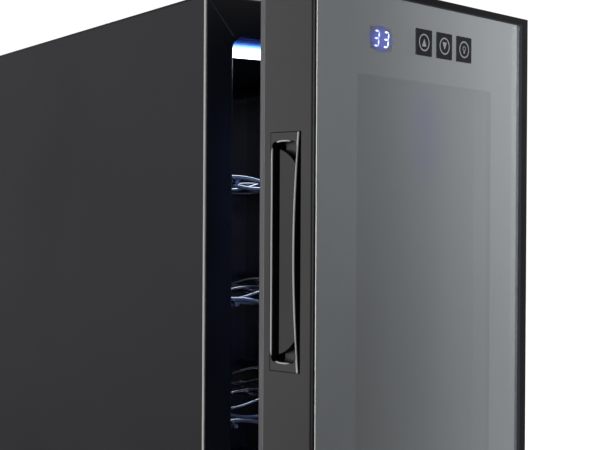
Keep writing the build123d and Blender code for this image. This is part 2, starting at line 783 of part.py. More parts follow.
# ---------------------------------------------------------------- electrics in the rear space
board_x = 30.0
board_low = 60.0
board_high = 150.0
board_half = 45.0
standoff_height = 8.0
standoff_radius = 3.0
standoff_inset = 5.0
connector = (12.0, 10.0, 9.0)
connector_pitch = 20.0
connector_drop = 8.0
transformer_x = 15.0  # left of the board's middle
transformer_rise = 30.0
transformer_core = (32.0, 28.0, 26.0)
transformer_winding = (18.0, 34.0, 20.0)
capacitor_x = 22.0
capacitor_rises = (18.0, 36.0, 54.0)
capacitor_radius = 7.0
capacitor_height = 24.0
part_round = 1.0
board_y = bulkhead_back + standoff_height
with BuildPart() as power_board:
    block(board_x - board_half, board_x + board_half, board_y, board_y + board_thickness,
          board_low, board_high)
    for x in (-connector_pitch, 0.0, connector_pitch):
        with Locations(Location((board_x + x, board_y + board_thickness, board_high - connector_drop),
                                rearwards)):
            Box(*connector, align=(Align.CENTER, Align.CENTER, Align.MIN))
save(power_board, "power_board")

with BuildPart() as board_standoffs:
    standoff_spots = [(board_x + x, bulkhead_back, z)
                      for x in (-board_half + standoff_inset, board_half - standoff_inset)
                      for z in (board_low + standoff_inset, board_high - standoff_inset)]
    with Locations(*facing(standoff_spots, rearwards)):
        Cylinder(standoff_radius, standoff_height, align=(Align.CENTER, Align.CENTER, Align.MIN))
save(board_standoffs, "board_standoffs")

with BuildPart() as board_transformer:
    with Locations(Location((board_x - transformer_x, board_y + board_thickness,
                             board_low + transformer_rise), rearwards)):
        Box(*transformer_core, align=(Align.CENTER, Align.CENTER, Align.MIN))
        Box(*transformer_winding, align=(Align.CENTER, Align.CENTER, Align.MIN))
    fillet(board_transformer.edges().filter_by(Axis.Y), radius=part_round)
save(board_transformer, "board_transformer")

with BuildPart() as board_capacitors:
    capacitor_spots = [(board_x + capacitor_x, board_y + board_thickness, board_low + z)
                       for z in capacitor_rises]
    with Locations(*facing(capacitor_spots, rearwards)):
        Cylinder(capacitor_radius, capacitor_height, align=(Align.CENTER, Align.CENTER, Align.MIN))
    fillet(board_capacitors.faces().group_by(Axis.Y)[-1].edges(), radius=part_round)
save(board_capacitors, "board_capacitors")

with BuildPart() as power_inlet:
    half_w = inlet_width / 2 - inlet_fit
    half_h = inlet_height / 2 - inlet_fit
    block(inlet_x - half_w, inlet_x + half_w, back - inlet_body_depth, back,
          inlet_z - half_h, inlet_z + half_h)
    block(inlet_x - inlet_width / 2 - inlet_side_lap, inlet_x + inlet_width / 2 + inlet_side_lap,
          back, back + inlet_flange,
          inlet_z - inlet_height / 2 - inlet_end_lap, inlet_z + inlet_height / 2 + inlet_end_lap)
    block(inlet_x - half_w + inlet_wall, inlet_x + half_w - inlet_wall, back - inlet_body_depth + inlet_floor,
          back + inlet_flange, inlet_z - half_h + inlet_wall, inlet_z + half_h - inlet_wall, Mode.SUBTRACT)
    # Contact blades: earth above, live and neutral beside it
    for x, z in blade_spots:
        with Locations((inlet_x + x, back - inlet_body_depth + blade_setback, inlet_z + z)):
            Box(blade_width, blade_length, blade_height)
save(power_inlet, "power_inlet")

# ---------------------------------------------------------------- cabin lamp and probe
with BuildPart() as lamp_base:
    block(-lamp_width / 2 - lamp_tray_lap, lamp_width / 2 + lamp_tray_lap, lamp_front - lamp_tray_lap,
          lamp_back + lamp_tray_lap, opening_top + liner_wall, lamp_tray_top)
    block(-lamp_width / 2, lamp_width / 2, lamp_front, lamp_back, opening_top,
          lamp_tray_top - lamp_tray_wall, Mode.SUBTRACT)
save(lamp_base, "lamp_base")

led_count = 9
led_pitch = 20.0
led_size = 5.0
led_height = 1.2
strip_margin = 4.0
strip_half = 6.0
with BuildPart() as led_strip:
    strip_top = lamp_tray_top - lamp_tray_wall
    strip_y = (lamp_front + lamp_back) / 2
    block(-lamp_width / 2 + strip_margin, lamp_width / 2 - strip_margin, strip_y - strip_half,
          strip_y + strip_half, strip_top - board_thickness, strip_top)
    with Locations((0, strip_y, strip_top - board_thickness)):
        with GridLocations(led_pitch, 1.0, led_count, 1):
            Box(led_size, led_size, led_height, align=(Align.CENTER, Align.CENTER, Align.MAX))
save(led_strip, "led_strip")

with BuildPart() as lamp_lens:
    block(-lamp_width / 2 + lens_fit, lamp_width / 2 - lens_fit, lamp_front + lens_fit, lamp_back - lens_fit,
          opening_top - lens_drop, opening_top + liner_wall)
    fillet(lamp_lens.edges().filter_by(Axis.X).group_by(Axis.Z)[0], radius=lens_round)
save(lamp_lens, "lamp_lens")

probe_width = 14.0
probe_height = 30.0
probe_depth = 5.0
probe_corner = 2.0
probe_tip = (3.0, 9.0)  # radius and length
probe_side_gap = 18.0  # fan cover to the probe's middle
probe_x = cover_width / 2 + probe_side_gap
with BuildPart() as temperature_probe:
    with Locations(Location((probe_x, liner_inside_back, cooling_height), (90, 0, 0))):
        Box(probe_width, probe_height, probe_depth, align=(Align.CENTER, Align.CENTER, Align.MIN))
        fillet(temperature_probe.edges().filter_by(Axis.Y), radius=probe_corner)
        Cylinder(*probe_tip, align=(Align.CENTER, Align.CENTER, Align.MIN))
save(temperature_probe, "temperature_probe")

# ---------------------------------------------------------------- hinges
plate_setback = 6.0  # front plane to the plate's straight part


def make_bracket(plate_low, pin_from, spots, head_up):
    """Flat hinge plate with its riveted pin, countersunk for two rows of screws."""
    with BuildPart() as bracket:
        with BuildSketch(Plane.XY.offset(plate_low)):
            with Locations((hinge_x, hinge_y)):
                Circle(bracket_nose)
            outline(bracket_left, bracket_right, front + plate_setback, bracket_back)
            make_hull()
        extrude(amount=bracket_sheet)
        with Locations((hinge_x, hinge_y, pin_from)):
            Cylinder(pin_radius, pin_length, align=(Align.CENTER, Align.CENTER, Align.MIN))
        countersink(spots, upwards if head_up else downwards)
    return bracket


save(make_bracket(cabinet_height, cabinet_height - pin_length, top_hinge_spots, True), "top_hinge_bracket")
save(make_bracket(bottom_bracket_low, foot_height, bottom_hinge_spots, False), "bottom_hinge_bracket")

with BuildPart() as hinge_screws:
    with Locations(*facing(top_hinge_spots, upwards), *facing(bottom_hinge_spots, downwards)):
        add(countersunk_screw.part)
save(hinge_screws, "hinge_screws")

cover_clear = 0.3
cover_lap = 2.0
cover_setback = 4.0
hinge_cover_corner = 3.0
hinge_cover_round = 1.5
with BuildPart() as top_hinge_cover:
    block(bracket_left - cover_lap, bracket_right, front + cover_setback, bracket_back + cover_lap,
          cabinet_height, cabinet_height + hinge_cover_height)
    fillet(top_hinge_cover.edges().filter_by(Axis.Z), radius=hinge_cover_corner)
    fillet(top_hinge_cover.faces().sort_by(Axis.Z)[-1].edges(), radius=hinge_cover_round)
    block(bracket_left - cover_clear, half_width + 1, front, bracket_back + cover_clear,
          cabinet_height, top_bracket_top + cover_clear, Mode.SUBTRACT)
save(top_hinge_cover, "top_hinge_cover")

# ---------------------------------------------------------------- door
handle_pocket_back = door_back - handle_back_inset
handle_pocket_front = handle_pocket_back - handle_width
handle_top = handle_low + handle_height
unit_left = window_left - inner_glass_lap
unit_right = window_right + inner_glass_lap
unit_bottom = window_bottom - inner_glass_lap
unit_top = window_top + inner_glass_lap
pocket_left = display_centre - display_width / 2 - controls_pocket_margin
pocket_right = key_middle + key_pitch + key_width / 2 + controls_pocket_margin
pocket_low = controls_height - controls_pocket_height / 2
pocket_high = controls_height + controls_pocket_height / 2

with BuildPart() as door_frame:
    block(-half_width, half_width, frame_front, trim_front, door_bottom, door_top)
    front_uprights = door_frame.edges().filter_by(Axis.Z).group_by(Axis.Y)[0]
    fillet(front_uprights, radius=door_round)
    with BuildSketch(upright(mask_back)):
        outline(glass_left - glass_gap, glass_right + glass_gap, glass_bottom - glass_gap,
                glass_top + glass_gap)
    extrude(amount=mask_back - frame_front, mode=Mode.SUBTRACT)
    with BuildSketch(upright(trim_front)):
        outline(unit_left - unit_gap, unit_right + unit_gap, unit_bottom - unit_gap, unit_top + unit_gap)
    extrude(amount=trim_front - frame_front, mode=Mode.SUBTRACT)
    block(pocket_left, pocket_right, mask_back, mask_back + controls_pocket_depth, pocket_low, pocket_high,
          Mode.SUBTRACT)
    block(-half_width - 1, -half_width + handle_depth, handle_pocket_front, handle_pocket_back,
          handle_low, handle_top, Mode.SUBTRACT)
    for end, seat in ((door_top, Align.MAX), (door_bottom, Align.MIN)):
        with Locations((hinge_x, hinge_y, end)):
            Cylinder(bush_radius, bush_depth + bush_end_gap, align=(Align.CENTER, Align.CENTER, seat),
                     mode=Mode.SUBTRACT)
    drill(trim_spots, rearwards)
save_on_door(door_frame, "door_frame")

with BuildPart() as door_glass:
    block(glass_left, glass_right, door_front, glass_back, glass_bottom, glass_top)
    free_edge = door_glass.edges().filter_by(Axis.Z).group_by(Axis.Y)[0].sort_by(Axis.X)[-1]
    front_face = door_glass.faces().sort_by(Axis.Y)[0]
    chamfer(free_edge, length=glass_bevel, length2=glass_bevel_depth, reference=front_face)
save_on_door(door_glass, "door_glass")

with BuildPart() as glass_mask:
    with BuildSketch(upright(mask_back)):
        outline(glass_left, glass_right, glass_bottom, glass_top)
        outline(window_left, window_right, window_bottom, window_top, mode=Mode.SUBTRACT)
    extrude(amount=mask_thickness)
save_on_door(glass_mask, "glass_mask")

with BuildPart() as glass_spacer:
    with BuildSketch(upright(spacer_back)):
        outline(unit_left + spacer_inset, unit_right - spacer_inset, unit_bottom + spacer_inset,
                unit_top - spacer_inset)
        rim = spacer_inset + spacer_width
        outline(unit_left + rim, unit_right - rim, unit_bottom + rim, unit_top - rim, mode=Mode.SUBTRACT)
    extrude(amount=spacer_depth)
save_on_door(glass_spacer, "glass_spacer")

with BuildPart() as inner_glass:
    block(unit_left, unit_right, spacer_back, inner_glass_back, unit_bottom, unit_top)
save_on_door(inner_glass, "inner_glass")

with BuildPart() as door_inner_trim:
    with BuildSketch(upright(door_back)):
        outline(-half_width + trim_inset, half_width - trim_inset, door_bottom + trim_inset,
                door_top - trim_inset, trim_corner)
    extrude(amount=trim_sheet)
    with BuildSketch(upright(trim_front)):
        plug = unit_gap / 2
        outline(unit_left - plug, unit_right + plug, unit_bottom - plug, unit_top + plug)
    extrude(amount=trim_front - inner_glass_back)
    with BuildSketch(upright(door_back)):
        outline(window_left, window_right, window_bottom, window_top, trim_window_corner)
    extrude(amount=door_back - inner_glass_back, mode=Mode.SUBTRACT)
    sight_edge = door_inner_trim.faces().filter_by(Axis.Y).sort_by(Axis.Y)[-1].inner_wires()[0]
    fillet(sight_edge.edges(), radius=trim_round)
    countersink(trim_spots, rearwards)
save_on_door(door_inner_trim, "door_inner_trim")

with BuildPart() as trim_screws:
    with Locations(*facing(trim_spots, rearwards)):
        add(countersunk_screw.part)
save_on_door(trim_screws, "trim_screws")

with BuildPart() as door_gasket:
    with BuildSketch(upright(front - gasket_clear)):
        outline(-half_width + gasket_inset, half_width - gasket_inset, door_bottom + gasket_inset,
                door_top - gasket_inset, gasket_corner)
        inset = gasket_inset + gasket_width
        outline(-half_width + inset, half_width - inset, door_bottom + inset, door_top - inset,
                gasket_inner_corner, Mode.SUBTRACT)
    extrude(amount=door_gap - gasket_clear)
    fillet(door_gasket.faces().sort_by(Axis.Y)[-1].outer_wire().edges(), radius=gasket_round)
save_on_door(door_gasket, "door_gasket")

# Recessed pull on the free side: a bowed front edge, a sloped thumb face and a deep finger slot
insert_back = handle_pocket_back - handle_fit
insert_front = handle_pocket_front + handle_front_gap
insert_low = handle_low + handle_fit
insert_top = handle_top - handle_fit
insert_middle = (insert_low + insert_top) / 2
insert_face = -half_width
grip_edge = insert_front + handle_bow
side_plane = Plane(origin=(insert_face, 0, 0), x_dir=(0, -1, 0), z_dir=(-1, 0, 0))
slot_front = insert_back - recess_back_wall - slot_width
recess_low = insert_low + recess_end
recess_top = insert_top - recess_end


def side_point(y, z):
    """A point on the door's free side face, from its depth and height."""
    return (-y, z)


with BuildPart() as handle_insert:
    with BuildSketch(side_plane):
        with BuildLine():
            Line(side_point(insert_front, insert_top), side_point(insert_back, insert_top))
            Line(side_point(insert_back, insert_top), side_point(insert_back, insert_low))
            Line(side_point(insert_back, insert_low), side_point(insert_front, insert_low))
            ThreePointArc(side_point(insert_front, insert_low), side_point(grip_edge, insert_middle),
                          side_point(insert_front, insert_top))
        make_face()
    extrude(amount=-(handle_depth - handle_fit))
    # Finger recess, its front edge running beside the bowed one
    recess_back = insert_back - recess_back_wall
    recess_front = insert_front + grip_wall
    with BuildSketch(side_plane) as recess:
        with BuildLine():
            Line(side_point(recess_front, recess_top), side_point(recess_back, recess_top))
            Line(side_point(recess_back, recess_top), side_point(recess_back, recess_low))
            Line(side_point(recess_back, recess_low), side_point(recess_front, recess_low))
            ThreePointArc(side_point(recess_front, recess_low),
                          side_point(grip_edge + grip_wall, insert_middle),
                          side_point(recess_front, recess_top))
        make_face()
        rear_corners = recess.vertices().group_by(Axis.X)[0]
        fillet(rear_corners, radius=recess_corner)
        fillet(recess.vertices().group_by(Axis.X)[-1], radius=recess_corner / 2)
    extrude(amount=-end_floor_depth, mode=Mode.SUBTRACT)
    # Softened rim of the recess on the plate's face
    plate_face = handle_insert.faces().sort_by(Axis.X)[0]
    fillet(plate_face.inner_wires()[0].edges(), radius=handle_edge_round)
    with BuildSketch(side_plane):
        with Locations(side_point((recess_back + slot_front) / 2, insert_middle)):
            SlotOverall(recess_top - recess_low, recess_back - slot_front, rotation=90)
    extrude(amount=-slot_depth, mode=Mode.SUBTRACT)

# The thumb face: a wedge that is nearly flush at the bowed edge and sinks towards the slot
blade_end_front = 27.0  # how far its ends stand in from the recess's ends, at the front
blade_end_back = 5.0
blade_crown = 3.0
wedge_root = end_floor_depth + 0.5  # its back, sunk into the recess's floor
with BuildPart() as thumb_face:
    with BuildSketch(Plane.XY.offset(recess_low)):
        with BuildLine():
            Polyline((insert_face + shelf_of_grip_front, recess_front - grip_wall / 2),
                     (insert_face + shelf_of_grip_back, slot_front),
                     (insert_face + wedge_root, slot_front),
                     (insert_face + wedge_root, recess_front - grip_wall / 2), close=True)
        make_face()
    extrude(amount=recess_top - recess_low)
    with BuildSketch(side_plane):
        with BuildLine():
            low_back = side_point(slot_front, recess_low + blade_end_back)
            low_front = side_point(recess_front - grip_wall, recess_low + blade_end_front)
            top_back = side_point(slot_front, recess_top - blade_end_back)
            top_front = side_point(recess_front - grip_wall, recess_top - blade_end_front)
            low_bend = ((low_back[0] + low_front[0]) / 2 + blade_crown,
                        (low_back[1] + low_front[1]) / 2 - blade_crown)
            top_bend = ((top_back[0] + top_front[0]) / 2 + blade_crown,
                        (top_back[1] + top_front[1]) / 2 + blade_crown)
            ThreePointArc(low_front, low_bend, low_back)
            Line(low_back, top_back)
            ThreePointArc(top_back, top_bend, top_front)
            Line(top_front, low_front)
        make_face()
    extrude(amount=-handle_depth, both=True, mode=Mode.INTERSECT)

with BuildPart() as handle_whole:
    add(handle_insert.part)
    add(thumb_face.part)
    # Nothing of the wedge stands beyond the bowed edge
    with BuildSketch(side_plane):
        with BuildLine():
            Line(side_point(handle_pocket_front, insert_top), side_point(insert_front, insert_top))
            ThreePointArc(side_point(insert_front, insert_top), side_point(grip_edge, insert_middle),
                          side_point(insert_front, insert_low))
            Line(side_point(insert_front, insert_low), side_point(handle_pocket_front, insert_low))
            Line(side_point(handle_pocket_front, insert_low), side_point(handle_pocket_front, insert_top))
        make_face()
    extrude(amount=-handle_depth, mode=Mode.SUBTRACT)
save_on_door(handle_whole, "handle_insert")

with BuildPart() as display_module:
    block(display_centre - display_width / 2, display_centre + display_width / 2, mask_back + module_setback,
          mask_back + module_setback + display_depth, controls_height - display_height / 2,
          controls_height + display_height / 2)
    fillet(display_module.edges().filter_by(Axis.Y), radius=module_corner)
save_on_door(display_module, "display_module")

board_front = mask_back + board_setback
spring_length = board_setback - module_setback
with BuildPart() as touch_board:
    block(pocket_left + board_margin, pocket_right - board_margin, board_front,
          board_front + board_thickness, pocket_low + board_margin, pocket_high - board_margin)
save_on_door(touch_board, "touch_board")

key_places = [key_middle + step * key_pitch for step in (-1, 0, 1)]
with BuildPart() as touch_springs:
    with Locations(*facing([(x, board_front, controls_height) for x in key_places], (90, 0, 0))):
        Cylinder(spring_radius, spring_length, align=(Align.CENTER, Align.CENTER, Align.MIN))
        Cylinder(spring_bore, spring_length - spring_cap, align=(Align.CENTER, Align.CENTER, Align.MIN),
                 mode=Mode.SUBTRACT)
save_on_door(touch_springs, "touch_springs")

for name, x in zip(("key_up", "key_down", "key_light"), key_places):
    with BuildPart() as key:
        with BuildSketch(upright(door_front)):
            outline(x - key_width / 2, x + key_width / 2, controls_height - key_height / 2,
                    controls_height + key_height / 2, key_corner)
        extrude(amount=key_thickness)
    save_on_door(key, name)


def make_bush(door_end, outwards):
    """Flanged bush pressed into the end of the door; the hinge pin turns in it."""
    seat = Align.MAX if outwards > 0 else Align.MIN
    flange_seat = Align.MIN if outwards > 0 else Align.MAX
    with BuildPart() as bush:
        with Locations((hinge_x, hinge_y, door_end)):
            Cylinder(bush_radius, bush_depth, align=(Align.CENTER, Align.CENTER, seat))
            Cylinder(bush_flange_radius, bush_flange, align=(Align.CENTER, Align.CENTER, flange_seat))
        with Locations((hinge_x, hinge_y, door_end)):
            Cylinder(pin_radius + pin_play, 3 * bush_depth, mode=Mode.SUBTRACT)
    return bush


save_on_door(make_bush(door_top, 1), "top_hinge_bush")
save_on_door(make_bush(door_bottom, -1), "bottom_hinge_bush")
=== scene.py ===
import json
import math

import bpy
from mathutils import Matrix, Vector


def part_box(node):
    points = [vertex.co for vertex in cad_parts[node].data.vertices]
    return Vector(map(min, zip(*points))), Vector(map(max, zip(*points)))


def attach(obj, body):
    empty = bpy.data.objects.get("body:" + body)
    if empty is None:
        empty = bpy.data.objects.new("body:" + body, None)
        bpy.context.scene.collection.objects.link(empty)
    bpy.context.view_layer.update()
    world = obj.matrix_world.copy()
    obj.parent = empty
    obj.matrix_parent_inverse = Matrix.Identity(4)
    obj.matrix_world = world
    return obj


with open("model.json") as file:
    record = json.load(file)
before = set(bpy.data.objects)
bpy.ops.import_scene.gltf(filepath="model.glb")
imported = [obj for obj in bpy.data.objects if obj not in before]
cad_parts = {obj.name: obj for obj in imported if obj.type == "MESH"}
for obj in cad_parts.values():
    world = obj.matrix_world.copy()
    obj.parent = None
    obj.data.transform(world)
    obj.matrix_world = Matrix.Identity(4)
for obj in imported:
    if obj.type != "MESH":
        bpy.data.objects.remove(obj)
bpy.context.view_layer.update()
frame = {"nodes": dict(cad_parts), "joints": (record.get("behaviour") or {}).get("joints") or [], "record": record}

mm = 0.001

# the door rests ajar: the hinge says how far, and every door piece is made closed and swung by that much
hinge = next(joint for joint in frame["joints"] if joint["name"] == "door_hinge")
ajarAngle = math.radians(-hinge["range_deg"][0])
hingePoint = Vector(hinge["pos_m"])
print("frame loaded, door ajar by", round(math.degrees(ajarAngle), 1), "degrees")


cameraSetup = {
    "place": (-0.5653, -0.9994, 0.4789),
    "yaw": 33.48,  # degrees from +Y towards +X
    "pitch": -0.28,
    "roll": 0.32,
    "lens": 75.12,
    "sensor": 36.0,
    "nearest": 10 * mm,
}


def addCamera(setup):
    yaw, pitch, roll = (math.radians(setup[key]) for key in ("yaw", "pitch", "roll"))
    ahead = Vector((math.sin(yaw) * math.cos(pitch), math.cos(yaw) * math.cos(pitch), math.sin(pitch)))
    right = Vector((math.cos(yaw), -math.sin(yaw), 0))
    up = right.cross(ahead)
    tiltedRight = right * math.cos(roll) + up * math.sin(roll)
    tiltedUp = tiltedRight.cross(ahead)
    bpy.ops.object.camera_add(location=setup["place"])
    camera = bpy.context.object
    camera.name = "mainCamera"
    camera.data.lens = setup["lens"]
    camera.data.sensor_width = setup["sensor"]
    camera.data.clip_start = setup["nearest"]
    turn = Matrix((tiltedRight, tiltedUp, -ahead)).transposed()
    camera.rotation_euler = turn.to_euler()
    bpy.context.scene.camera = camera


addCamera(cameraSetup)
bpy.context.scene.view_settings.view_transform = "Standard"
print("camera placed")


def doorTurn(angle):
    # a turn about the hinge's pin
    return Matrix.Translation(hingePoint) @ Matrix.Rotation(angle, 4, "Z") @ Matrix.Translation(-hingePoint)


def closedBox(nodeName):
    # a door node's corners with the door shut
    back = doorTurn(-ajarAngle)
    points = [back @ vertex.co for vertex in frame["nodes"][nodeName].data.vertices]
    low = Vector([min(point[axis] for point in points) for axis in range(3)])
    high = Vector([max(point[axis] for point in points) for axis in range(3)])
    return low, high


# every finish reads Object coordinates and has its own grain, sheen and wear
# in their dictionaries a noise is (scale, detail, roughness), tones and sheens are factors on the finish's
# own colour and roughness, and a relief is (strength, depth in metres)


def newFinish(name, colour, roughness, metallic=0.0, coat=0.0, specular=0.5):
    material = bpy.data.materials.new(name)
    material.use_nodes = True
    shader = material.node_tree.nodes["Principled BSDF"]
    shader.inputs["Base Color"].default_value = (*colour, 1.0)
    shader.inputs["Roughness"].default_value = roughness
    shader.inputs["Metallic"].default_value = metallic
    shader.inputs["Coat Weight"].default_value = coat
    shader.inputs["Specular IOR Level"].default_value = specular
    return material


def newNode(material, kind, **settings):
    node = material.node_tree.nodes.new(kind)
    for key, value in settings.items():
        setattr(node, key, value)
    return node


def objectSpace(material, scale=(1, 1, 1), turn=(0, 0, 0)):
    place = newNode(material, "ShaderNodeTexCoord")
    mapping = newNode(material, "ShaderNodeMapping")
    mapping.inputs["Scale"].default_value = scale
    mapping.inputs["Rotation"].default_value = turn
    material.node_tree.links.new(place.outputs["Object"], mapping.inputs["Vector"])
    return mapping.outputs["Vector"]


def doorSpace(material, middle, scale=(1, 1, 1)):
    # coordinates of the shut door, measured from a point that is given where the ajar door has it
    place = newNode(material, "ShaderNodeTexCoord")
    local = newNode(material, "ShaderNodeMapping", vector_type="TEXTURE")
    local.inputs["Location"].default_value = middle
    local.inputs["Rotation"].default_value = (0, 0, ajarAngle)
    local.inputs["Scale"].default_value = scale
    material.node_tree.links.new(place.outputs["Object"], local.inputs["Vector"])
    return local.outputs["Vector"]


def noise(material, vector, scale, detail=4.0, roughness=0.5):
    node = newNode(material, "ShaderNodeTexNoise")
    node.inputs["Scale"].default_value = scale
    node.inputs["Detail"].default_value = detail
    node.inputs["Roughness"].default_value = roughness
    material.node_tree.links.new(vector, node.inputs["Vector"])
    return node.outputs["Fac"]


def spread(material, value, low, high, fromLow=0.3, fromHigh=0.7):
    node = newNode(material, "ShaderNodeMapRange")
    node.inputs["From Min"].default_value = fromLow
    node.inputs["From Max"].default_value = fromHigh
    node.inputs["To Min"].default_value = low
    node.inputs["To Max"].default_value = high
    material.node_tree.links.new(value, node.inputs["Value"])
    return node.outputs["Result"]


def colourRamp(material, value, dark, light, fromLow=0.0, fromHigh=1.0):
    node = newNode(material, "ShaderNodeValToRGB")
    for element, colour, position in zip(node.color_ramp.elements, (dark, light), (fromLow, fromHigh)):
        element.position = position
        element.color = (*colour, 1)
    material.node_tree.links.new(value, node.inputs["Fac"])
    return node.outputs["Color"]


def varyColour(material, value, dark, light, fromLow=0.35, fromHigh=0.65):
    shader = material.node_tree.nodes["Principled BSDF"]
    ramp = colourRamp(material, value, dark, light, fromLow, fromHigh)
    material.node_tree.links.new(ramp, shader.inputs["Base Color"])


def varyRoughness(material, value, low, high):
    shader = material.node_tree.nodes["Principled BSDF"]
    material.node_tree.links.new(spread(material, value, low, high), shader.inputs["Roughness"])


def bumpFrom(material, value, strength, distance, under=None):
    bump = newNode(material, "ShaderNodeBump")
    bump.inputs["Strength"].default_value = strength
    bump.inputs["Distance"].default_value = distance
    links = material.node_tree.links
    links.new(value, bump.inputs["Height"])
    if under is not None:
        links.new(under, bump.inputs["Normal"])
    links.new(bump.outputs["Normal"], material.node_tree.nodes["Principled BSDF"].inputs["Normal"])


def tone(colour, factor):
    return tuple(channel * factor for channel in colour)


def tones(colour, factors):
    return [tone(colour, factor) for factor in factors]


def sheens(roughness, factors):
    return [roughness * factor for factor in factors]


def part(material, vector, axis):
    split = newNode(material, "ShaderNodeSeparateXYZ")
    material.node_tree.links.new(vector, split.inputs["Vector"])
    return split.outputs[axis]


def calculate(material, operation, first, second=None):
    # either term is a socket or a number
    node = newNode(material, "ShaderNodeMath", operation=operation)
    for socket, term in zip(node.inputs, (first, second)):
        if isinstance(term, bpy.types.NodeSocket):
            material.node_tree.links.new(term, socket)
        elif term is not None:
            socket.default_value = term
    return node.outputs["Value"]


def near(material, value, middle, reach, soft):
    # 1 up to reach on both sides of the middle, fading out over soft
    apart = calculate(material, "ABSOLUTE", calculate(material, "SUBTRACT", value, middle))
    return spread(material, apart, 1.0, 0.0, reach - soft / 2, reach + soft / 2)


def both(material, first, second):
    return calculate(material, "MULTIPLY", first, second)


def overlay(material, mask, colour, blend="MIX"):
    # a second colour over the first one, where the mask is 1
    links = material.node_tree.links
    target = material.node_tree.nodes["Principled BSDF"].inputs["Base Color"]
    mix = newNode(material, "ShaderNodeMix", data_type="RGBA", blend_type=blend)
    links.new(target.links[0].from_socket, mix.inputs["A"])
    mix.inputs["B"].default_value = (*colour, 1)
    links.new(mask, mix.inputs["Factor"])
    links.new(mix.outputs["Result"], target)


edgeSamples = 6


def softEdges(material, radius):
    # every corner of a moulding catches light over this radius
    node = newNode(material, "ShaderNodeBevel")
    node.samples = edgeSamples
    node.inputs["Radius"].default_value = radius
    return node.outputs["Normal"]


paintSkin = {
    "clouds": (5.0, 3.0),
    "peelDetail": 2.0,
    "tones": (0.9, 1.1),
    "sheens": (0.88, 1.12),
    "relief": (0.12, 0.0004),
}


def powderCoat(name, colour, roughness, peel=420.0, edge=0.8 * mm, specular=0.5):
    # baked paint: fine orange peel over slow changes of tone and sheen
    material = newFinish(name, colour, roughness, specular=specular)
    space = objectSpace(material)
    clouds = noise(material, space, *paintSkin["clouds"])
    grain = noise(material, space, peel, paintSkin["peelDetail"])
    varyColour(material, clouds, *tones(colour, paintSkin["tones"]))
    varyRoughness(material, clouds, *sheens(roughness, paintSkin["sheens"]))
    bumpFrom(material, grain, *paintSkin["relief"], softEdges(material, edge))
    return material


mouldSkin = {
    "rubbing": (9.0, 5.0, 0.6),
    "grain": (3.0, 0.65),  # detail and roughness; each plastic has its own scale
    "tones": (0.88, 1.12),
    "sheens": (0.82, 1.15),
    "depth": 0.0003,
}


def mouldedPlastic(name, colour, roughness, grainScale=900.0, grainStrength=0.15, edge=0.5 * mm,
                   specular=0.5):
    # spark-eroded mould grain, with polish where hands and cloths have passed
    material = newFinish(name, colour, roughness, specular=specular)
    space = objectSpace(material)
    rubbed = noise(material, space, *mouldSkin["rubbing"])
    grain = noise(material, space, grainScale, *mouldSkin["grain"])
    varyColour(material, rubbed, *tones(colour, mouldSkin["tones"]))
    varyRoughness(material, rubbed, *sheens(roughness, mouldSkin["sheens"]))
    bumpFrom(material, grain, grainStrength, mouldSkin["depth"], softEdges(material, edge))
    return material


brushSkin = {
    "lines": (60.0, 6.0, 0.7),
    "patches": (14.0, 3.0),
    "tones": (0.8, 1.1),
    "sheens": (0.8, 1.3),
    "relief": (0.12, 0.0002),
}


def brushedMetal(name, colour, roughness, along=(1, 1, 60), metallic=1.0):
    # fine parallel scratches, stretched along one direction
    material = newFinish(name, colour, roughness, metallic)
    lines = noise(material, objectSpace(material, along), *brushSkin["lines"])
    patches = noise(material, objectSpace(material), *brushSkin["patches"])
    varyColour(material, lines, *tones(colour, brushSkin["tones"]))
    varyRoughness(material, patches, *sheens(roughness, brushSkin["sheens"]))
    bumpFrom(material, lines, *brushSkin["relief"])
    return material


plateSkin = {
    "haze": (45.0, 4.0),
    "pits": (1400.0, 2.0),
    "tones": (0.82, 1.0),
    "sheens": (0.6, 2.2),
    "relief": (0.05, 0.0001),
}


def platedWire(name, colour, roughness):
    # bright chrome over drawn wire: faint draw lines and dull welds
    material = newFinish(name, colour, roughness, 1.0)
    space = objectSpace(material)
    haze = noise(material, space, *plateSkin["haze"])
    pits = noise(material, space, *plateSkin["pits"])
    varyColour(material, haze, *tones(colour, plateSkin["tones"]))
    varyRoughness(material, haze, *sheens(roughness, plateSkin["sheens"]))
    bumpFrom(material, pits, *plateSkin["relief"])
    return material


rubberSkin = {
    "bloom": (30.0, 5.0, 0.6),
    "skin": (700.0, 3.0),
    "tones": (0.8, 1.5),
    "sheens": (0.85, 1.1),
    "relief": (0.2, 0.0003),
}


def softRubber(name, colour, roughness):
    # matt skin with a pale bloom
    material = newFinish(name, colour, roughness)
    space = objectSpace(material)
    bloom = noise(material, space, *rubberSkin["bloom"])
    skin = noise(material, space, *rubberSkin["skin"])
    varyColour(material, bloom, *tones(colour, rubberSkin["tones"]))
    varyRoughness(material, bloom, *sheens(roughness, rubberSkin["sheens"]))
    bumpFrom(material, skin, *rubberSkin["relief"])
    return material


foamSkin = {
    "roughness": 0.9,
    "cells": 260.0,
    "tones": (0.7, 1.0),
    "rimToMiddle": (0.05, 0.5),
    "relief": (0.6, 0.0012),
}


def castFoam(name, colour):
    # blown foam: cells with darker skins
    material = newFinish(name, colour, foamSkin["roughness"])
    cells = newNode(material, "ShaderNodeTexVoronoi")
    cells.inputs["Scale"].default_value = foamSkin["cells"]
    material.node_tree.links.new(objectSpace(material), cells.inputs["Vector"])
    distance = cells.outputs["Distance"]
    varyColour(material, distance, *tones(colour, foamSkin["tones"]), *foamSkin["rimToMiddle"])
    bumpFrom(material, distance, *foamSkin["relief"])
    return material


boardSkin = {
    "roughness": 0.3,
    "coat": 0.3,
    "trackScale": 160.0,
    "trackGap": 0.03,
    "tones": {"Color1": 1.0, "Color2": 0.8, "Mortar": 1.9},
    "relief": (0.3, 0.0002),
}


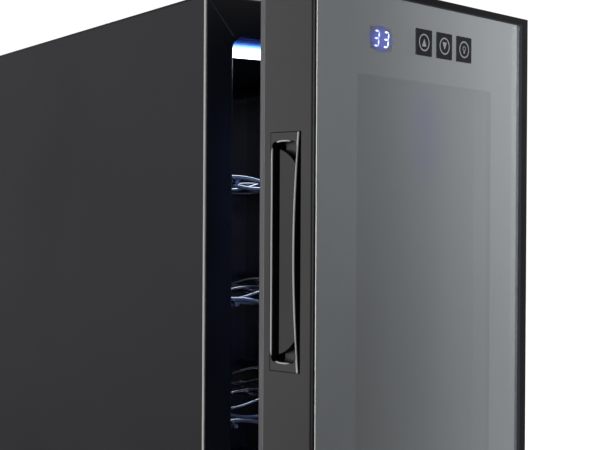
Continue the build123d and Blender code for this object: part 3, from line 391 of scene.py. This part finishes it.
def circuitLaminate(name, colour):
    # solder-masked board: darker tracks under a glossy film
    material = newFinish(name, colour, boardSkin["roughness"], coat=boardSkin["coat"])
    tracks = newNode(material, "ShaderNodeTexBrick")
    tracks.inputs["Scale"].default_value = boardSkin["trackScale"]
    tracks.inputs["Mortar Size"].default_value = boardSkin["trackGap"]
    for socket, factor in boardSkin["tones"].items():
        tracks.inputs[socket].default_value = (*tone(colour, factor), 1)
    links = material.node_tree.links
    links.new(objectSpace(material, turn=(math.pi / 2, 0, 0)), tracks.inputs["Vector"])
    links.new(tracks.outputs["Color"], material.node_tree.nodes["Principled BSDF"].inputs["Base Color"])
    bumpFrom(material, tracks.outputs["Fac"], *boardSkin["relief"])
    return material


def doorPatch(material, across, upward, middle, half, soft):
    # 1 inside a rectangle on the shut door
    return both(material, near(material, across, middle[0] - hingePoint.x, half[0], soft),
                near(material, upward, middle[1] - hingePoint.z, half[1], soft))


def mirrorGlass(name, settings):
    # half-silvered pane: mostly mirror, a little of what is behind shows through
    silver, roughness = settings["silver"], settings["roughness"]
    material = newFinish(name, silver, roughness, metallic=1.0)
    shader = material.node_tree.nodes["Principled BSDF"]
    shader.inputs["Alpha"].default_value = settings["alpha"]
    waviness = noise(material, objectSpace(material), *settings["waves"])
    smears = noise(material, objectSpace(material, settings["smearStretch"]), *settings["smears"])
    varyColour(material, smears, *tones(silver, settings["tones"]))
    varyRoughness(material, smears, *sheens(roughness, settings["sheens"]))
    bumpFrom(material, waviness, *settings["relief"])
    local = doorSpace(material, hingePoint)
    across, upward = part(material, local, "X"), part(material, local, "Z")
    # painted shade over the window, and a painted glow of the cabin light high up
    for spot in (settings["windowShade"], settings["glint"]):
        mask = doorPatch(material, across, upward, spot["middle"], spot["half"], spot["soft"])
        overlay(material, mask, spot["tint"], "MULTIPLY")
    # ground edge of the pane
    edgeStart = closedBox("door_glass")[0].x - hingePoint.x
    edge = spread(material, across, 1.0, 0.0, edgeStart + settings["edge"] / 2, edgeStart + settings["edge"])
    overlay(material, edge, settings["edgeTint"])
    return material


paneSkin = {"roughness": 0.03, "film": (8.0, 5.0), "filmRoughness": (0.02, 0.09), "tones": (0.96, 1.0)}


def clearGlass(name, colour, alpha):
    # plain pane under a thin film of breath and dust
    material = newFinish(name, colour, paneSkin["roughness"])
    shader = material.node_tree.nodes["Principled BSDF"]
    shader.inputs["Alpha"].default_value = alpha
    film = noise(material, objectSpace(material), *paneSkin["film"])
    varyRoughness(material, film, *paneSkin["filmRoughness"])
    varyColour(material, film, *tones(colour, paneSkin["tones"]))
    return material


def litDiffuser(name, settings):
    # frosted lens: white over the diodes, bluer towards its rim
    material = newFinish(name, settings["core"], settings["roughness"])
    shader = material.node_tree.nodes["Principled BSDF"]
    low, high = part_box("lamp_lens")
    rimEnd = low.y + (high.y - low.y) * settings["rimShare"]
    across = spread(material, part(material, objectSpace(material), "Y"), 0.0, 1.0, low.y, rimEnd)
    glow = colourRamp(material, across, settings["rim"], settings["core"])
    material.node_tree.links.new(glow, shader.inputs["Emission Color"])
    shader.inputs["Emission Strength"].default_value = settings["strength"]
    frost = noise(material, objectSpace(material), *settings["frost"])
    bumpFrom(material, frost, *settings["relief"])
    return material


glowSkin = {"roughness": 0.4, "mottleDetail": 2.0, "tones": (0.8, 1.0)}


def glowing(name, colour, strength, patchScale=300.0):
    # lit print with a faint mottle
    material = newFinish(name, colour, glowSkin["roughness"])
    shader = material.node_tree.nodes["Principled BSDF"]
    shader.inputs["Emission Strength"].default_value = strength
    mottle = noise(material, objectSpace(material), patchScale, glowSkin["mottleDetail"])
    glow = colourRamp(material, mottle, *tones(colour, glowSkin["tones"]))
    material.node_tree.links.new(glow, shader.inputs["Emission Color"])
    return material


def hazeGlow(name, settings, middle, halfSize):
    # blue light that spreads in the glass round the digits and dies away at the rim
    material = glowing(name, settings["colour"], settings["strength"], settings["mottle"])
    links = material.node_tree.links
    reach = newNode(material, "ShaderNodeVectorMath", operation="LENGTH")
    links.new(doorSpace(material, middle, (halfSize[0], 1.0, halfSize[1])), reach.inputs[0])
    fade = newNode(material, "ShaderNodeMapRange", interpolation_type="SMOOTHSTEP")
    fadeFrom, fadeTo = settings["fade"]
    for socket, amount in (("From Min", fadeFrom), ("From Max", fadeTo),
                           ("To Min", settings["cover"]), ("To Max", 0.0)):
        fade.inputs[socket].default_value = amount
    links.new(reach.outputs["Value"], fade.inputs["Value"])
    links.new(fade.outputs["Result"], material.node_tree.nodes["Principled BSDF"].inputs["Alpha"])
    return material


cabinetPaint = powderCoat("cabinetCharcoalPaint", (0.008, 0.0076, 0.0095), 0.38, edge=1.0 * mm, specular=0.09)
framePlastic = mouldedPlastic("blackFramePlastic", (0.003, 0.0034, 0.006), 0.3, edge=1.6 * mm, specular=0.35)
linerPlastic = mouldedPlastic("blackLinerPlastic", (0.004, 0.004, 0.006), 0.24, 500.0, 0.06)
doorPlastic = mouldedPlastic("doorSidePlastic", (0.004, 0.004, 0.0043), 0.33, 700.0, 0.06,
                             edge=0.8 * mm, specular=0.15)
handlePlastic = mouldedPlastic("handlePlastic", (0.004, 0.004, 0.0043), 0.33, 1100.0, 0.12, specular=0.15)
grillePlastic = mouldedPlastic("rearGrillePlastic", (0.02, 0.02, 0.022), 0.5, 800.0, 0.3)
rearPaint = powderCoat("rearPanelPaint", (0.022, 0.022, 0.024), 0.5, 600.0)
zincSteel = brushedMetal("zincPlatedSteel", (0.55, 0.56, 0.57), 0.42, (40, 1, 1))
hingeSteel = powderCoat("hingePlatePaint", (0.03, 0.03, 0.032), 0.35, 900.0)
screwSteel = brushedMetal("screwSteel", (0.42, 0.42, 0.43), 0.35, (1, 1, 12))
shelfChrome = platedWire("shelfChrome", (0.5, 0.51, 0.54), 0.13)
sinkAluminium = brushedMetal("extrudedAluminium", (0.72, 0.73, 0.74), 0.32, (1, 1, 0.05))
spacerAluminium = brushedMetal("spacerAluminium", (0.16, 0.16, 0.17), 0.4, (1, 1, 0.1))
moduleCeramic = mouldedPlastic("moduleCeramic", (0.85, 0.85, 0.82), 0.55, 1500.0, 0.2)
fanPlastic = mouldedPlastic("fanPlastic", (0.014, 0.014, 0.015), 0.38, 900.0, 0.2)
boardLaminate = circuitLaminate("greenCircuitBoard", (0.02, 0.13, 0.055))
boardParts = mouldedPlastic("boardPartsPlastic", (0.03, 0.03, 0.04), 0.3, 1200.0, 0.1)
inletPlastic = mouldedPlastic("inletPlastic", (0.012, 0.012, 0.012), 0.3)
lampHousing = mouldedPlastic("lampHousingWhite", (0.7, 0.7, 0.73), 0.5)
footRubber = softRubber("footRubber", (0.012, 0.012, 0.012), 0.75)
gasketRubber = softRubber("gasketRubber", (0.022, 0.022, 0.024), 0.55)
insulationFoam = castFoam("insulationFoam", (0.72, 0.64, 0.42))
bushPlastic = mouldedPlastic("bushPlastic", (0.62, 0.62, 0.58), 0.4)
maskInk = brushedMetal("silverMaskInk", (0.42, 0.43, 0.44), 0.18, (1, 1, 1), 0.9)
keyFilm = mouldedPlastic("keyFilm", (0.0085, 0.0087, 0.0135), 0.25, 1200.0, 0.03,
                         edge=0.1 * mm, specular=0.15)
iconInk = mouldedPlastic("iconInk", (0.34, 0.35, 0.37), 0.4, 1500.0, 0.05,
                         edge=0.02 * mm, specular=0.2)
clearPane = clearGlass("clearPane", (0.5, 0.54, 0.54), 0.12)
doorMirror = mirrorGlass("doorMirrorGlass", {
    "silver": (0.52, 0.535, 0.545),
    "roughness": 0.05,
    "alpha": 0.74,
    "waves": (2.2, 1.0),
    "smears": (11.0, 6.0, 0.62),
    "smearStretch": (1, 1, 0.35),
    "tones": (0.97, 1.03),
    "sheens": (0.7, 1.5),
    "relief": (0.02, 0.002),
    # painted shade darkens the window, which has no mask behind it, and a painted glow of the cabin light tints
    # the pane high up;
    # middles and half sizes are taken on the shut door
    "windowShade": {
        "middle": (-6.45 * mm, 320.75 * mm),
        "half": (80.15 * mm, 256.05 * mm),
        "soft": 1.0 * mm,
        "tint": (0.872, 0.868, 0.866),
    },
    "glint": {
        "middle": (-8.0 * mm, 540.0 * mm),
        "half": (14.0 * mm, 30.0 * mm),
        "soft": 24.0 * mm,
        "tint": (0.94, 0.93, 1.08),
    },
    "edge": 0.1 * mm,
    "edgeTint": (0.2, 0.197, 0.19),
})
lampDiffuser = litDiffuser("lampDiffuser", {
    "core": (0.82, 0.91, 1.0),
    "rim": (0.05, 0.16, 1.0),
    "rimShare": 0.16,
    "strength": 5.0,
    "roughness": 0.45,
    "frost": (800.0, 2.0),
    "relief": (0.2, 0.0003),
})
digitGlow = glowing("digitGlow", (0.72, 0.84, 1.0), 1.5)
dimDigitGlow = glowing("dimDigitGlow", (0.66, 0.76, 1.0), 1.0)

# painted highlight along the rolled hem round the cabinet's front, where its bend catches the light
hemHighlightSetup = {"depth": 1.1 * mm, "soft": 0.2 * mm, "colour": (0.5, 0.48, 0.46)}
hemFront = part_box("outer_wrapper")[0].y
hemDepth = part(cabinetPaint, objectSpace(cabinetPaint), "Y")
hemHighlightMask = near(cabinetPaint, hemDepth, hemFront, hemHighlightSetup["depth"], hemHighlightSetup["soft"])
overlay(cabinetPaint, hemHighlightMask, hemHighlightSetup["colour"])

# the door frame's back rim with a painted highlight, its dark front lip, and painted highlights in bands beside
# and over its pane
doorSkin = {
    "rimDepth": 0.8 * mm,
    "rimSoft": 0.3 * mm,
    "rimHighlightColour": (0.12, 0.12, 0.125),
    "lipColour": (0.01, 0.0095, 0.0105),
    "lipDepth": 1.0 * mm,
    "bevelHighlightColour": (0.04, 0.044, 0.066),
    "highlightRight": 4.4 * mm,
    "highlightTop": 1.3 * mm,
}


def dressDoorFrame(material, setup):
    frameLow, frameHigh = closedBox("door_frame")
    paneLow, paneHigh = (corner - hingePoint for corner in closedBox("door_glass"))
    soft = setup["rimSoft"]
    local = doorSpace(material, hingePoint)
    across, inward, upward = (part(material, local, axis) for axis in "XYZ")
    # painted highlight along the back rim, where its rounded edge catches the light
    rim = near(material, inward, frameHigh.y - hingePoint.y, setup["rimDepth"], soft)
    overlay(material, rim, setup["rimHighlightColour"])
    lip = both(material, near(material, inward, frameLow.y - hingePoint.y, setup["lipDepth"], soft),
               near(material, across, 0.0, frameHigh.x - frameLow.x - setup["rimDepth"], soft))
    overlay(material, lip, setup["lipColour"])
    # painted bluish highlights in bands beside and over the pane
    right = both(material, near(material, across, paneHigh.x, setup["highlightRight"], soft),
                 near(material, upward, 0.0, paneHigh.z + setup["highlightTop"], soft))
    top = both(material, near(material, upward, paneHigh.z, setup["highlightTop"], soft),
               near(material, across, paneLow.x, paneHigh.x - paneLow.x + setup["highlightRight"], soft))
    for band in (right, top):
        overlay(material, both(material, lip, band), setup["bevelHighlightColour"])
    material.node_tree.links.new(lip, material.node_tree.nodes["Principled BSDF"].inputs["Metallic"])


dressDoorFrame(doorPlastic, doorSkin)

# painted highlights on the pull: a ring round its recess, and a line along the plate's bowed front edge
recessHighlight = {
    "middle": (-244.0 * mm, 457.0 * mm),  # along the door's depth and upwards, on the shut door
    "half": (10.4 * mm, 72.8 * mm),
    "corner": 8.0 * mm,
    "outset": 0.3 * mm,
    "width": 0.6 * mm,
    "soft": 0.3 * mm,
    "depth": 0.7 * mm,
    "bow": 4.0 * mm,
    "bowHalf": 78.8 * mm,
    "bowMiddle": -253.0 * mm,
    "colour": (0.4, 0.4, 0.405),
}


def paintRecessHighlights(material, setup):
    y, z = setup["middle"]
    halfDepth, halfHeight = setup["half"]
    local = doorSpace(material, hingePoint)
    across, inward, upward = (part(material, local, axis) for axis in "XYZ")
    face = closedBox("handle_insert")[0].x - hingePoint.x
    skin = near(material, across, face, setup["depth"], setup["soft"])
    # distance from the straight middle of a rounded rectangle, in the plane of the door's side
    steps = (
        ("SUBTRACT", (0, y - hingePoint.y, z - hingePoint.z)),
        ("ABSOLUTE", None),
        ("SUBTRACT", (0, halfDepth - setup["corner"], halfHeight - setup["corner"])),
        ("MAXIMUM", (0, 0, 0)),
        ("MULTIPLY", (0, 1, 1)),
    )
    value = local
    for operation, amount in steps:
        node = newNode(material, "ShaderNodeVectorMath", operation=operation)
        material.node_tree.links.new(value, node.inputs[0])
        if amount is not None:
            node.inputs[1].default_value = amount
        value = node.outputs["Vector"]
    length = newNode(material, "ShaderNodeVectorMath", operation="LENGTH")
    material.node_tree.links.new(value, length.inputs[0])
    rimDistance = setup["corner"] + setup["outset"]
    # painted highlight in a ring round the recess's mouth
    ring = near(material, length.outputs["Value"], rimDistance, setup["width"], setup["soft"])
    overlay(material, both(material, ring, skin), setup["colour"])
    # painted highlight along the bowed edge, which lies further forwards with the square of the height from the
    # middle
    apart = calculate(material, "SUBTRACT", upward, z - hingePoint.z)
    bend = calculate(material, "MULTIPLY", both(material, apart, apart), setup["bow"] / setup["bowHalf"] ** 2)
    bowed = calculate(material, "ADD", bend, inward)
    line = near(material, bowed, setup["bowMiddle"] - hingePoint.y, setup["width"], setup["soft"])
    overlay(material, both(material, line, skin), setup["colour"])


paintRecessHighlights(handlePlastic, recessHighlight)

slotFinish = {
    "wrapper_steel": cabinetPaint, "frame_plastic": framePlastic, "liner_plastic": linerPlastic,
    "foam": insulationFoam, "zinc_steel": zincSteel, "rear_paint": rearPaint,
    "grille_plastic": grillePlastic, "foot_rubber": footRubber, "gasket_rubber": gasketRubber,
    "shelf_chrome": shelfChrome, "sink_aluminium": sinkAluminium, "module_ceramic": moduleCeramic,
    "fan_plastic": fanPlastic, "board_laminate": boardLaminate, "board_parts": boardParts,
    "inlet_plastic": inletPlastic, "lamp_housing": lampHousing, "lamp_diffuser": lampDiffuser,
    "screw_steel": screwSteel, "hinge_steel": hingeSteel, "door_plastic": doorPlastic,
    "handle_plastic": handlePlastic, "mirror_glass": doorMirror, "clear_glass": clearPane,
    "mask_ink": maskInk, "spacer_aluminium": spacerAluminium, "key_film": keyFilm,
    "bush_plastic": bushPlastic,
}


def dressNodes():
    for entry in frame["record"]["subparts"]:
        node = frame["nodes"][entry["node"]]
        node.data.materials.clear()
        node.data.materials.append(slotFinish[entry["material_slot"]])


dressNodes()
print("finishes on", len(frame["nodes"]), "CAD nodes")


def deselectAll():
    if bpy.context.object and bpy.context.object.mode != "OBJECT":
        bpy.ops.object.mode_set(mode="OBJECT")
    bpy.ops.object.select_all(action="DESELECT")


def bakePlace(piece):
    deselectAll()
    piece.select_set(True)
    bpy.context.view_layer.objects.active = piece
    bpy.ops.object.transform_apply(location=True, rotation=True, scale=True)


def swingAjar(piece):
    bakePlace(piece)
    piece.matrix_world = doorTurn(ajarAngle) @ piece.matrix_world
    bakePlace(piece)


def joinPieces(pieces, name):
    deselectAll()
    for piece in pieces:
        piece.select_set(True)
    bpy.context.view_layer.objects.active = pieces[0]
    bpy.ops.object.join()
    pieces[0].name = name
    return pieces[0]


weldReach = 0.002 * mm


def tidyNormals(piece):
    deselectAll()
    piece.select_set(True)
    bpy.context.view_layer.objects.active = piece
    bpy.ops.object.mode_set(mode="EDIT")
    bpy.ops.mesh.select_all(action="SELECT")
    bpy.ops.mesh.remove_doubles(threshold=weldReach)
    bpy.ops.mesh.normals_make_consistent(inside=False)
    bpy.ops.object.mode_set(mode="OBJECT")


# display digits of pointed bars, standing on the glass as printed light
displaySetup = {
    "digits": ("3", "3"),
    "shift": (-4.1 * mm, 0, -2.8 * mm),  # from the middle of the module behind the glass
    "digitHeight": 11.7 * mm,
    "digitWidth": 6.4 * mm,
    "digitPitch": 10.4 * mm,
    "bar": 1.5 * mm,
    "barGap": 0.3 * mm,
    "lean": 6.0,  # degrees
    "thickness": 0.1 * mm,
    "patchWidth": 28.0 * mm,
    "patchHeight": 20.0 * mm,
    "patchCorner": 2.0 * mm,
    "patchThickness": 0.12 * mm,
    "haze": {
        "colour": (0.1, 0.115, 0.42),
        "strength": 0.42,
        "cover": 0.85,
        "fade": (0.35, 1.05),  # from and to, in shares of the patch's half size
        "mottle": 500.0,
    },
    "cornerSegments": 5,
}
litBars = {"0": "abcdef", "1": "bc", "2": "abdeg", "3": "abcdg", "4": "bcfg", "5": "acdfg", "8": "abcdefg"}
glassLow = closedBox("door_glass")[0]
moduleLow, moduleHigh = closedBox("display_module")
displayMiddle = (moduleLow + moduleHigh) / 2 + Vector(displaySetup["shift"])
displayMiddle.y = glassLow.y


faceFront = (math.pi / 2, 0, 0)  # turns a flat primitive to face the room


def addBar(middle, length, width, thickness, upright):
    # a square turned on its corner, its two middle corners drawn out into a bar with pointed ends
    deselectAll()
    bpy.ops.mesh.primitive_cylinder_add(vertices=4, radius=width / 2, depth=thickness, location=middle,
                                        rotation=faceFront)
    bar = bpy.context.object
    bakePlace(bar)
    bpy.ops.object.mode_set(mode="EDIT")
    bpy.ops.mesh.select_all(action="SELECT")
    along = Vector((0, 0, 1)) if upright else Vector((1, 0, 0))
    bpy.ops.mesh.bisect(plane_co=middle, plane_no=along)
    bpy.ops.mesh.select_all(action="DESELECT")
    bpy.ops.object.mode_set(mode="OBJECT")
    # the diamond's two halves are pulled apart along the bar
    stretch = (length - width) / 2
    for vertex in bar.data.vertices:
        reach = (vertex.co - middle).dot(along)
        if abs(reach) > width / 10:
            vertex.co += along * math.copysign(stretch, reach)
    return bar


def addDisplayDigit(character, middle, setup, name):
    half = setup["digitHeight"] / 2
    side = (setup["digitWidth"] - setup["bar"]) / 2
    quarter = (half - setup["bar"] / 2) / 2
    along = setup["digitWidth"] - setup["bar"] - setup["barGap"]
    tall = 2 * quarter - setup["barGap"]
    spots = {
        "a": (0, 2 * quarter, False), "g": (0, 0, False), "d": (0, -2 * quarter, False),
        "b": (side, quarter, True), "c": (side, -quarter, True),
        "f": (-side, quarter, True), "e": (-side, -quarter, True),
    }
    bars = []
    for letter in litBars[character]:
        x, z, upright = spots[letter]
        place = middle + Vector((x, 0, z))
        length = tall if upright else along
        bars.append(addBar(place, length, setup["bar"], setup["thickness"], upright))
    digit = joinPieces(bars, name)
    for vertex in digit.data.vertices:
        vertex.co.x += (vertex.co.z - middle.z) * math.tan(math.radians(setup["lean"]))
    return digit


def addDisplayPatch(setup):
    # haze of the display around its digits: a thin plate with rounded corners
    deselectAll()
    patchMiddle = displayMiddle + Vector((0, -setup["patchThickness"] / 2, 0))
    bpy.ops.mesh.primitive_cube_add(size=1, location=patchMiddle)
    patch = bpy.context.object
    patch.scale = (setup["patchWidth"], setup["patchThickness"], setup["patchHeight"])
    bakePlace(patch)
    bpy.ops.object.mode_set(mode="EDIT")
    bpy.ops.mesh.select_all(action="DESELECT")
    bpy.ops.object.mode_set(mode="OBJECT")
    for edge in patch.data.edges:
        a, b = (patch.data.vertices[index].co for index in edge.vertices)
        edge.select = abs(a.y - b.y) > setup["patchThickness"] * 0.5
    bpy.ops.object.mode_set(mode="EDIT")
    bpy.ops.mesh.select_mode(type="EDGE")
    bpy.ops.mesh.bevel(offset=setup["patchCorner"], segments=setup["cornerSegments"], affect="EDGES")
    bpy.ops.mesh.select_mode(type="FACE")
    bpy.ops.object.mode_set(mode="OBJECT")
    patch.name = "display_patch"
    return patch


displayPatch = addDisplayPatch(displaySetup)
swingAjar(displayPatch)
patchCorners = [Vector(corner) for corner in displayPatch.bound_box]
patchMiddle = sum(patchCorners, Vector()) / 8
displayPatch.data.materials.clear()
patchHalf = (displaySetup["patchWidth"] / 2, displaySetup["patchHeight"] / 2)
displayPatch.data.materials.append(hazeGlow("displayHaze", displaySetup["haze"], patchMiddle, patchHalf))
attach(displayPatch, "door")
digitFace = displayMiddle.y - displaySetup["patchThickness"] - displaySetup["thickness"] / 2
lastDigit = len(displaySetup["digits"]) - 1
for index, character in enumerate(displaySetup["digits"]):
    digitX = displayMiddle.x + (index - lastDigit / 2) * displaySetup["digitPitch"]
    digitMiddle = Vector((digitX, digitFace, displayMiddle.z))
    digit = addDisplayDigit(character, digitMiddle, displaySetup, "display_digit_" + str(index + 1))
    digit.data.materials.clear()
    digit.data.materials.append(digitGlow if index else dimDigitGlow)
    tidyNormals(digit)
    swingAjar(digit)
    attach(digit, "door")
print("display digits lit")


# key marks: a ring and a sign, printed on each key
keyMarkSetup = {
    "ringRadius": 6.2 * mm,
    "ringWidth": 1.0 * mm,
    "ringCount": 56,
    "thickness": 0.08 * mm,
    "arrowHeight": 5.6 * mm,
    "arrowWidth": 5.4 * mm,
    "arrowCorner": 0.5 * mm,
    "lampRadius": 1.9 * mm,
    "lampLine": 0.55 * mm,
    "lampCount": 28,
    "lampRise": 0.7 * mm,
    "capWidth": 1.7 * mm,
    "capHeight": 1.4 * mm,
    "capDrop": 2.1 * mm,
    "capCorner": 0.4 * mm,
    "cornerSegments": 3,
}


def thicken(piece, thickness):
    # a flat print gets its body by extruding every face towards the front
    bpy.ops.object.mode_set(mode="EDIT")
    bpy.ops.mesh.select_mode(type="FACE")
    bpy.ops.mesh.select_all(action="SELECT")
    bpy.ops.mesh.extrude_region_move(TRANSFORM_OT_translate={"value": (0, -thickness, 0)})
    bpy.ops.object.mode_set(mode="OBJECT")


def addRing(middle, radius, width, thickness, count):
    deselectAll()
    bpy.ops.mesh.primitive_circle_add(vertices=count, radius=radius, fill_type="NGON", location=middle,
                                      rotation=faceFront)
    ring = bpy.context.object
    bakePlace(ring)
    bpy.ops.object.mode_set(mode="EDIT")
    bpy.ops.mesh.select_mode(type="FACE")
    bpy.ops.mesh.select_all(action="SELECT")
    bpy.ops.mesh.inset(thickness=width, depth=0)
    bpy.ops.mesh.delete(type="FACE")
    thicken(ring, thickness)
    return ring


def addArrow(middle, setup, pointing):
    deselectAll()
    # a triangle in a circle is one and a half radii tall
    bpy.ops.mesh.primitive_circle_add(vertices=3, radius=setup["arrowHeight"] / 1.5, fill_type="NGON",
                                      location=middle, rotation=faceFront)
    arrow = bpy.context.object
    bakePlace(arrow)
    heights = [vertex.co.z for vertex in arrow.data.vertices]
    widest = max(vertex.co.x for vertex in arrow.data.vertices) - middle.x
    shift = middle.z - (max(heights) + min(heights)) / 2
    for vertex in arrow.data.vertices:
        vertex.co.x = middle.x + (vertex.co.x - middle.x) * setup["arrowWidth"] / 2 / widest
        vertex.co.z = middle.z + (vertex.co.z + shift - middle.z) * pointing
    bpy.ops.object.mode_set(mode="EDIT")
    bpy.ops.mesh.select_all(action="SELECT")
    bpy.ops.mesh.bevel(offset=setup["arrowCorner"], segments=setup["cornerSegments"], affect="VERTICES")
    thicken(arrow, setup["thickness"])
    return arrow


def addLampSign(middle, setup):
    # a bulb outline over a small cap
    bulb = addRing(middle + Vector((0, 0, setup["lampRise"])), setup["lampRadius"], setup["lampLine"],
                   setup["thickness"], setup["lampCount"])
    deselectAll()
    capMiddle = middle - Vector((0, 0, setup["capDrop"]))
    bpy.ops.mesh.primitive_plane_add(size=1, location=capMiddle, rotation=faceFront)
    cap = bpy.context.object
    cap.scale = (setup["capWidth"], setup["capHeight"], 1)
    bakePlace(cap)
    bpy.ops.object.mode_set(mode="EDIT")
    bpy.ops.mesh.select_all(action="SELECT")
    bpy.ops.mesh.bevel(offset=setup["capCorner"], segments=setup["cornerSegments"], affect="VERTICES")
    thicken(cap, setup["thickness"])
    return [bulb, cap]


for keyName in ("key_up", "key_down", "key_light"):
    keyLow, keyHigh = closedBox(keyName)
    keyMiddle = Vector(((keyLow.x + keyHigh.x) / 2, keyLow.y, (keyLow.z + keyHigh.z) / 2))
    marks = [addRing(keyMiddle, keyMarkSetup["ringRadius"], keyMarkSetup["ringWidth"],
                     keyMarkSetup["thickness"], keyMarkSetup["ringCount"])]
    if keyName == "key_light":
        marks += addLampSign(keyMiddle, keyMarkSetup)
    else:
        marks.append(addArrow(keyMiddle, keyMarkSetup, 1 if keyName == "key_up" else -1))
    mark = joinPieces(marks, keyName.replace("key", "mark"))
    mark.data.materials.clear()
    mark.data.materials.append(iconInk)
    tidyNormals(mark)
    swingAjar(mark)
    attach(mark, "door")
print("key marks printed")


# floor, studio and the cooler's own lamp
studioSetup = {
    "floorSize": 9.0,
    "floorColour": (0.82, 0.82, 0.82),
    "floorRoughness": 0.9,
    "floorGlow": 0.62,
    "softLow": 0.4,
    "softHigh": 0.8,
    "softRise": (-0.2, 0.9),
    "backdrop": 1.05,
    "sheen": 0.2,  # what dark gloss sees of the room between the panels
    # light panels: direction, half angle in degrees, strength, colour
    "panels": (
        ((-0.885, 0.465, 0.11), 38, 4.3, (1.0, 1.0, 1.02)),
        ((-0.56, -0.82, 0.12), 20, 12.0, (1.0, 0.99, 0.98)),
        ((0.1, -0.1, 1.0), 50, 0.8, (1.0, 1.0, 1.0)),
        ((0.7, 0.7, 0.2), 40, 0.7, (1.0, 1.0, 1.0)),
    ),
    # the wall that the door mirrors: dark at one side, pale at the other, and paler upwards
    "wallDark": 0.36,
    "wallPale": 0.96,
    "wallFrom": -0.43,
    "wallTo": -0.265,
    "wallLow": 0.68,
    "wallHigh": 1.0,
    "wallRise": (-0.2, 0.14),
    "wallColour": (0.95, 0.985, 1.0),
    "wallNear": (0.72, 0.84),  # how far towards +X and -Y it fades in
    "wallSide": (0.02, -0.1),
}


def addFloor(setup):
    deselectAll()
    bpy.ops.mesh.primitive_plane_add(size=setup["floorSize"], location=(0, 0, 0))
    floor = bpy.context.object
    floor.name = "studioFloor"
    paint = newFinish("paleFloor", setup["floorColour"], setup["floorRoughness"], specular=0.0)
    shader = paint.node_tree.nodes["Principled BSDF"]
    shader.inputs["Emission Color"].default_value = (1, 1, 1, 1)
    shader.inputs["Emission Strength"].default_value = setup["floorGlow"]
    floor.data.materials.append(paint)
    floor.visible_glossy = False


def addRoomLight(setup):
    world = bpy.data.worlds.new("studioRoom")
    bpy.context.scene.world = world
    world.use_nodes = True
    nodes, links = world.node_tree.nodes, world.node_tree.links
    nodes.clear()

    def feed(socket, value):
        if isinstance(value, bpy.types.NodeSocket):
            links.new(value, socket)
        else:
            socket.default_value = value

    def mapped(value, *limits):
        node = nodes.new("ShaderNodeMapRange")
        node.interpolation_type = "SMOOTHSTEP"
        for socket, limit in zip(("From Min", "From Max", "To Min", "To Max"), limits):
            node.inputs[socket].default_value = limit
        links.new(value, node.inputs["Value"])
        return node.outputs["Result"]

    def times(a, b):
        node = nodes.new("ShaderNodeMath")
        node.operation = "MULTIPLY"
        links.new(a, node.inputs[0])
        links.new(b, node.inputs[1])
        return node.outputs["Value"]

    def background(colour, strength):
        node = nodes.new("ShaderNodeBackground")
        node.inputs["Color"].default_value = (*colour, 1)
        feed(node.inputs["Strength"], strength)
        return node.outputs["Background"]

    def mixed(fac, a, b):
        node = nodes.new("ShaderNodeMixShader")
        links.new(fac, node.inputs["Fac"])
        links.new(a, node.inputs[1])
        links.new(b, node.inputs[2])
        return node.outputs["Shader"]

    def added(a, b):
        node = nodes.new("ShaderNodeAddShader")
        links.new(a, node.inputs[0])
        links.new(b, node.inputs[1])
        return node.outputs["Shader"]

    way = nodes.new("ShaderNodeTexCoord").outputs["Generated"]
    split = nodes.new("ShaderNodeSeparateXYZ")
    links.new(way, split.inputs["Vector"])

    # glossy rays see panels on a dim room, and the wall opposite the door
    white = (1, 1, 1)
    gloss = background(white, setup["sheen"])
    for direction, halfAngle, strength, colour in setup["panels"]:
        aim = nodes.new("ShaderNodeVectorMath")
        aim.operation = "DOT_PRODUCT"
        links.new(way, aim.inputs[0])
        aim.inputs[1].default_value = Vector(direction).normalized()
        glow = mapped(aim.outputs["Value"], math.cos(math.radians(halfAngle)), 1.0, 0.0, strength)
        gloss = added(gloss, background(colour, glow))
    across = mapped(split.outputs["Y"], setup["wallFrom"], setup["wallTo"],
                    setup["wallDark"], setup["wallPale"])
    upward = mapped(split.outputs["Z"], *setup["wallRise"], setup["wallLow"], setup["wallHigh"])
    wall = background(setup["wallColour"], times(across, upward))
    onWall = times(mapped(split.outputs["X"], *setup["wallNear"], 0.0, 1.0),
                   mapped(split.outputs["Y"], *setup["wallSide"], 0.0, 1.0))
    gloss = mixed(onWall, gloss, wall)

    # other rays see a soft room that grows paler upwards, and the camera a plain backdrop
    softness = mapped(split.outputs["Z"], *setup["softRise"], setup["softLow"], setup["softHigh"])
    path = nodes.new("ShaderNodeLightPath")
    lit = mixed(path.outputs["Is Glossy Ray"], background(white, softness), gloss)
    seen = mixed(path.outputs["Is Camera Ray"], lit, background(white, setup["backdrop"]))
    output = nodes.new("ShaderNodeOutputWorld")
    links.new(seen, output.inputs["Surface"])


addFloor(studioSetup)
addRoomLight(studioSetup)

lampSetup = {
    "power": 2.2,
    "colour": (0.16, 0.32, 1.0),
    "drop": 3.0 * mm,
}


def addCabinLamp(setup):
    low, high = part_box("lamp_lens")
    place = Vector(((low.x + high.x) / 2, (low.y + high.y) / 2, low.z - setup["drop"]))
    deselectAll()
    bpy.ops.object.light_add(type="AREA", location=place)
    lamp = bpy.context.object
    lamp.name = "cabinLamp"
    lamp.data.shape = "RECTANGLE"
    lamp.data.size = high.x - low.x
    lamp.data.size_y = high.y - low.y
    lamp.data.energy = setup["power"]
    lamp.data.color = setup["colour"]
    lamp.visible_camera = False
    lamp.visible_glossy = False


addCabinLamp(lampSetup)
print("studio lit")
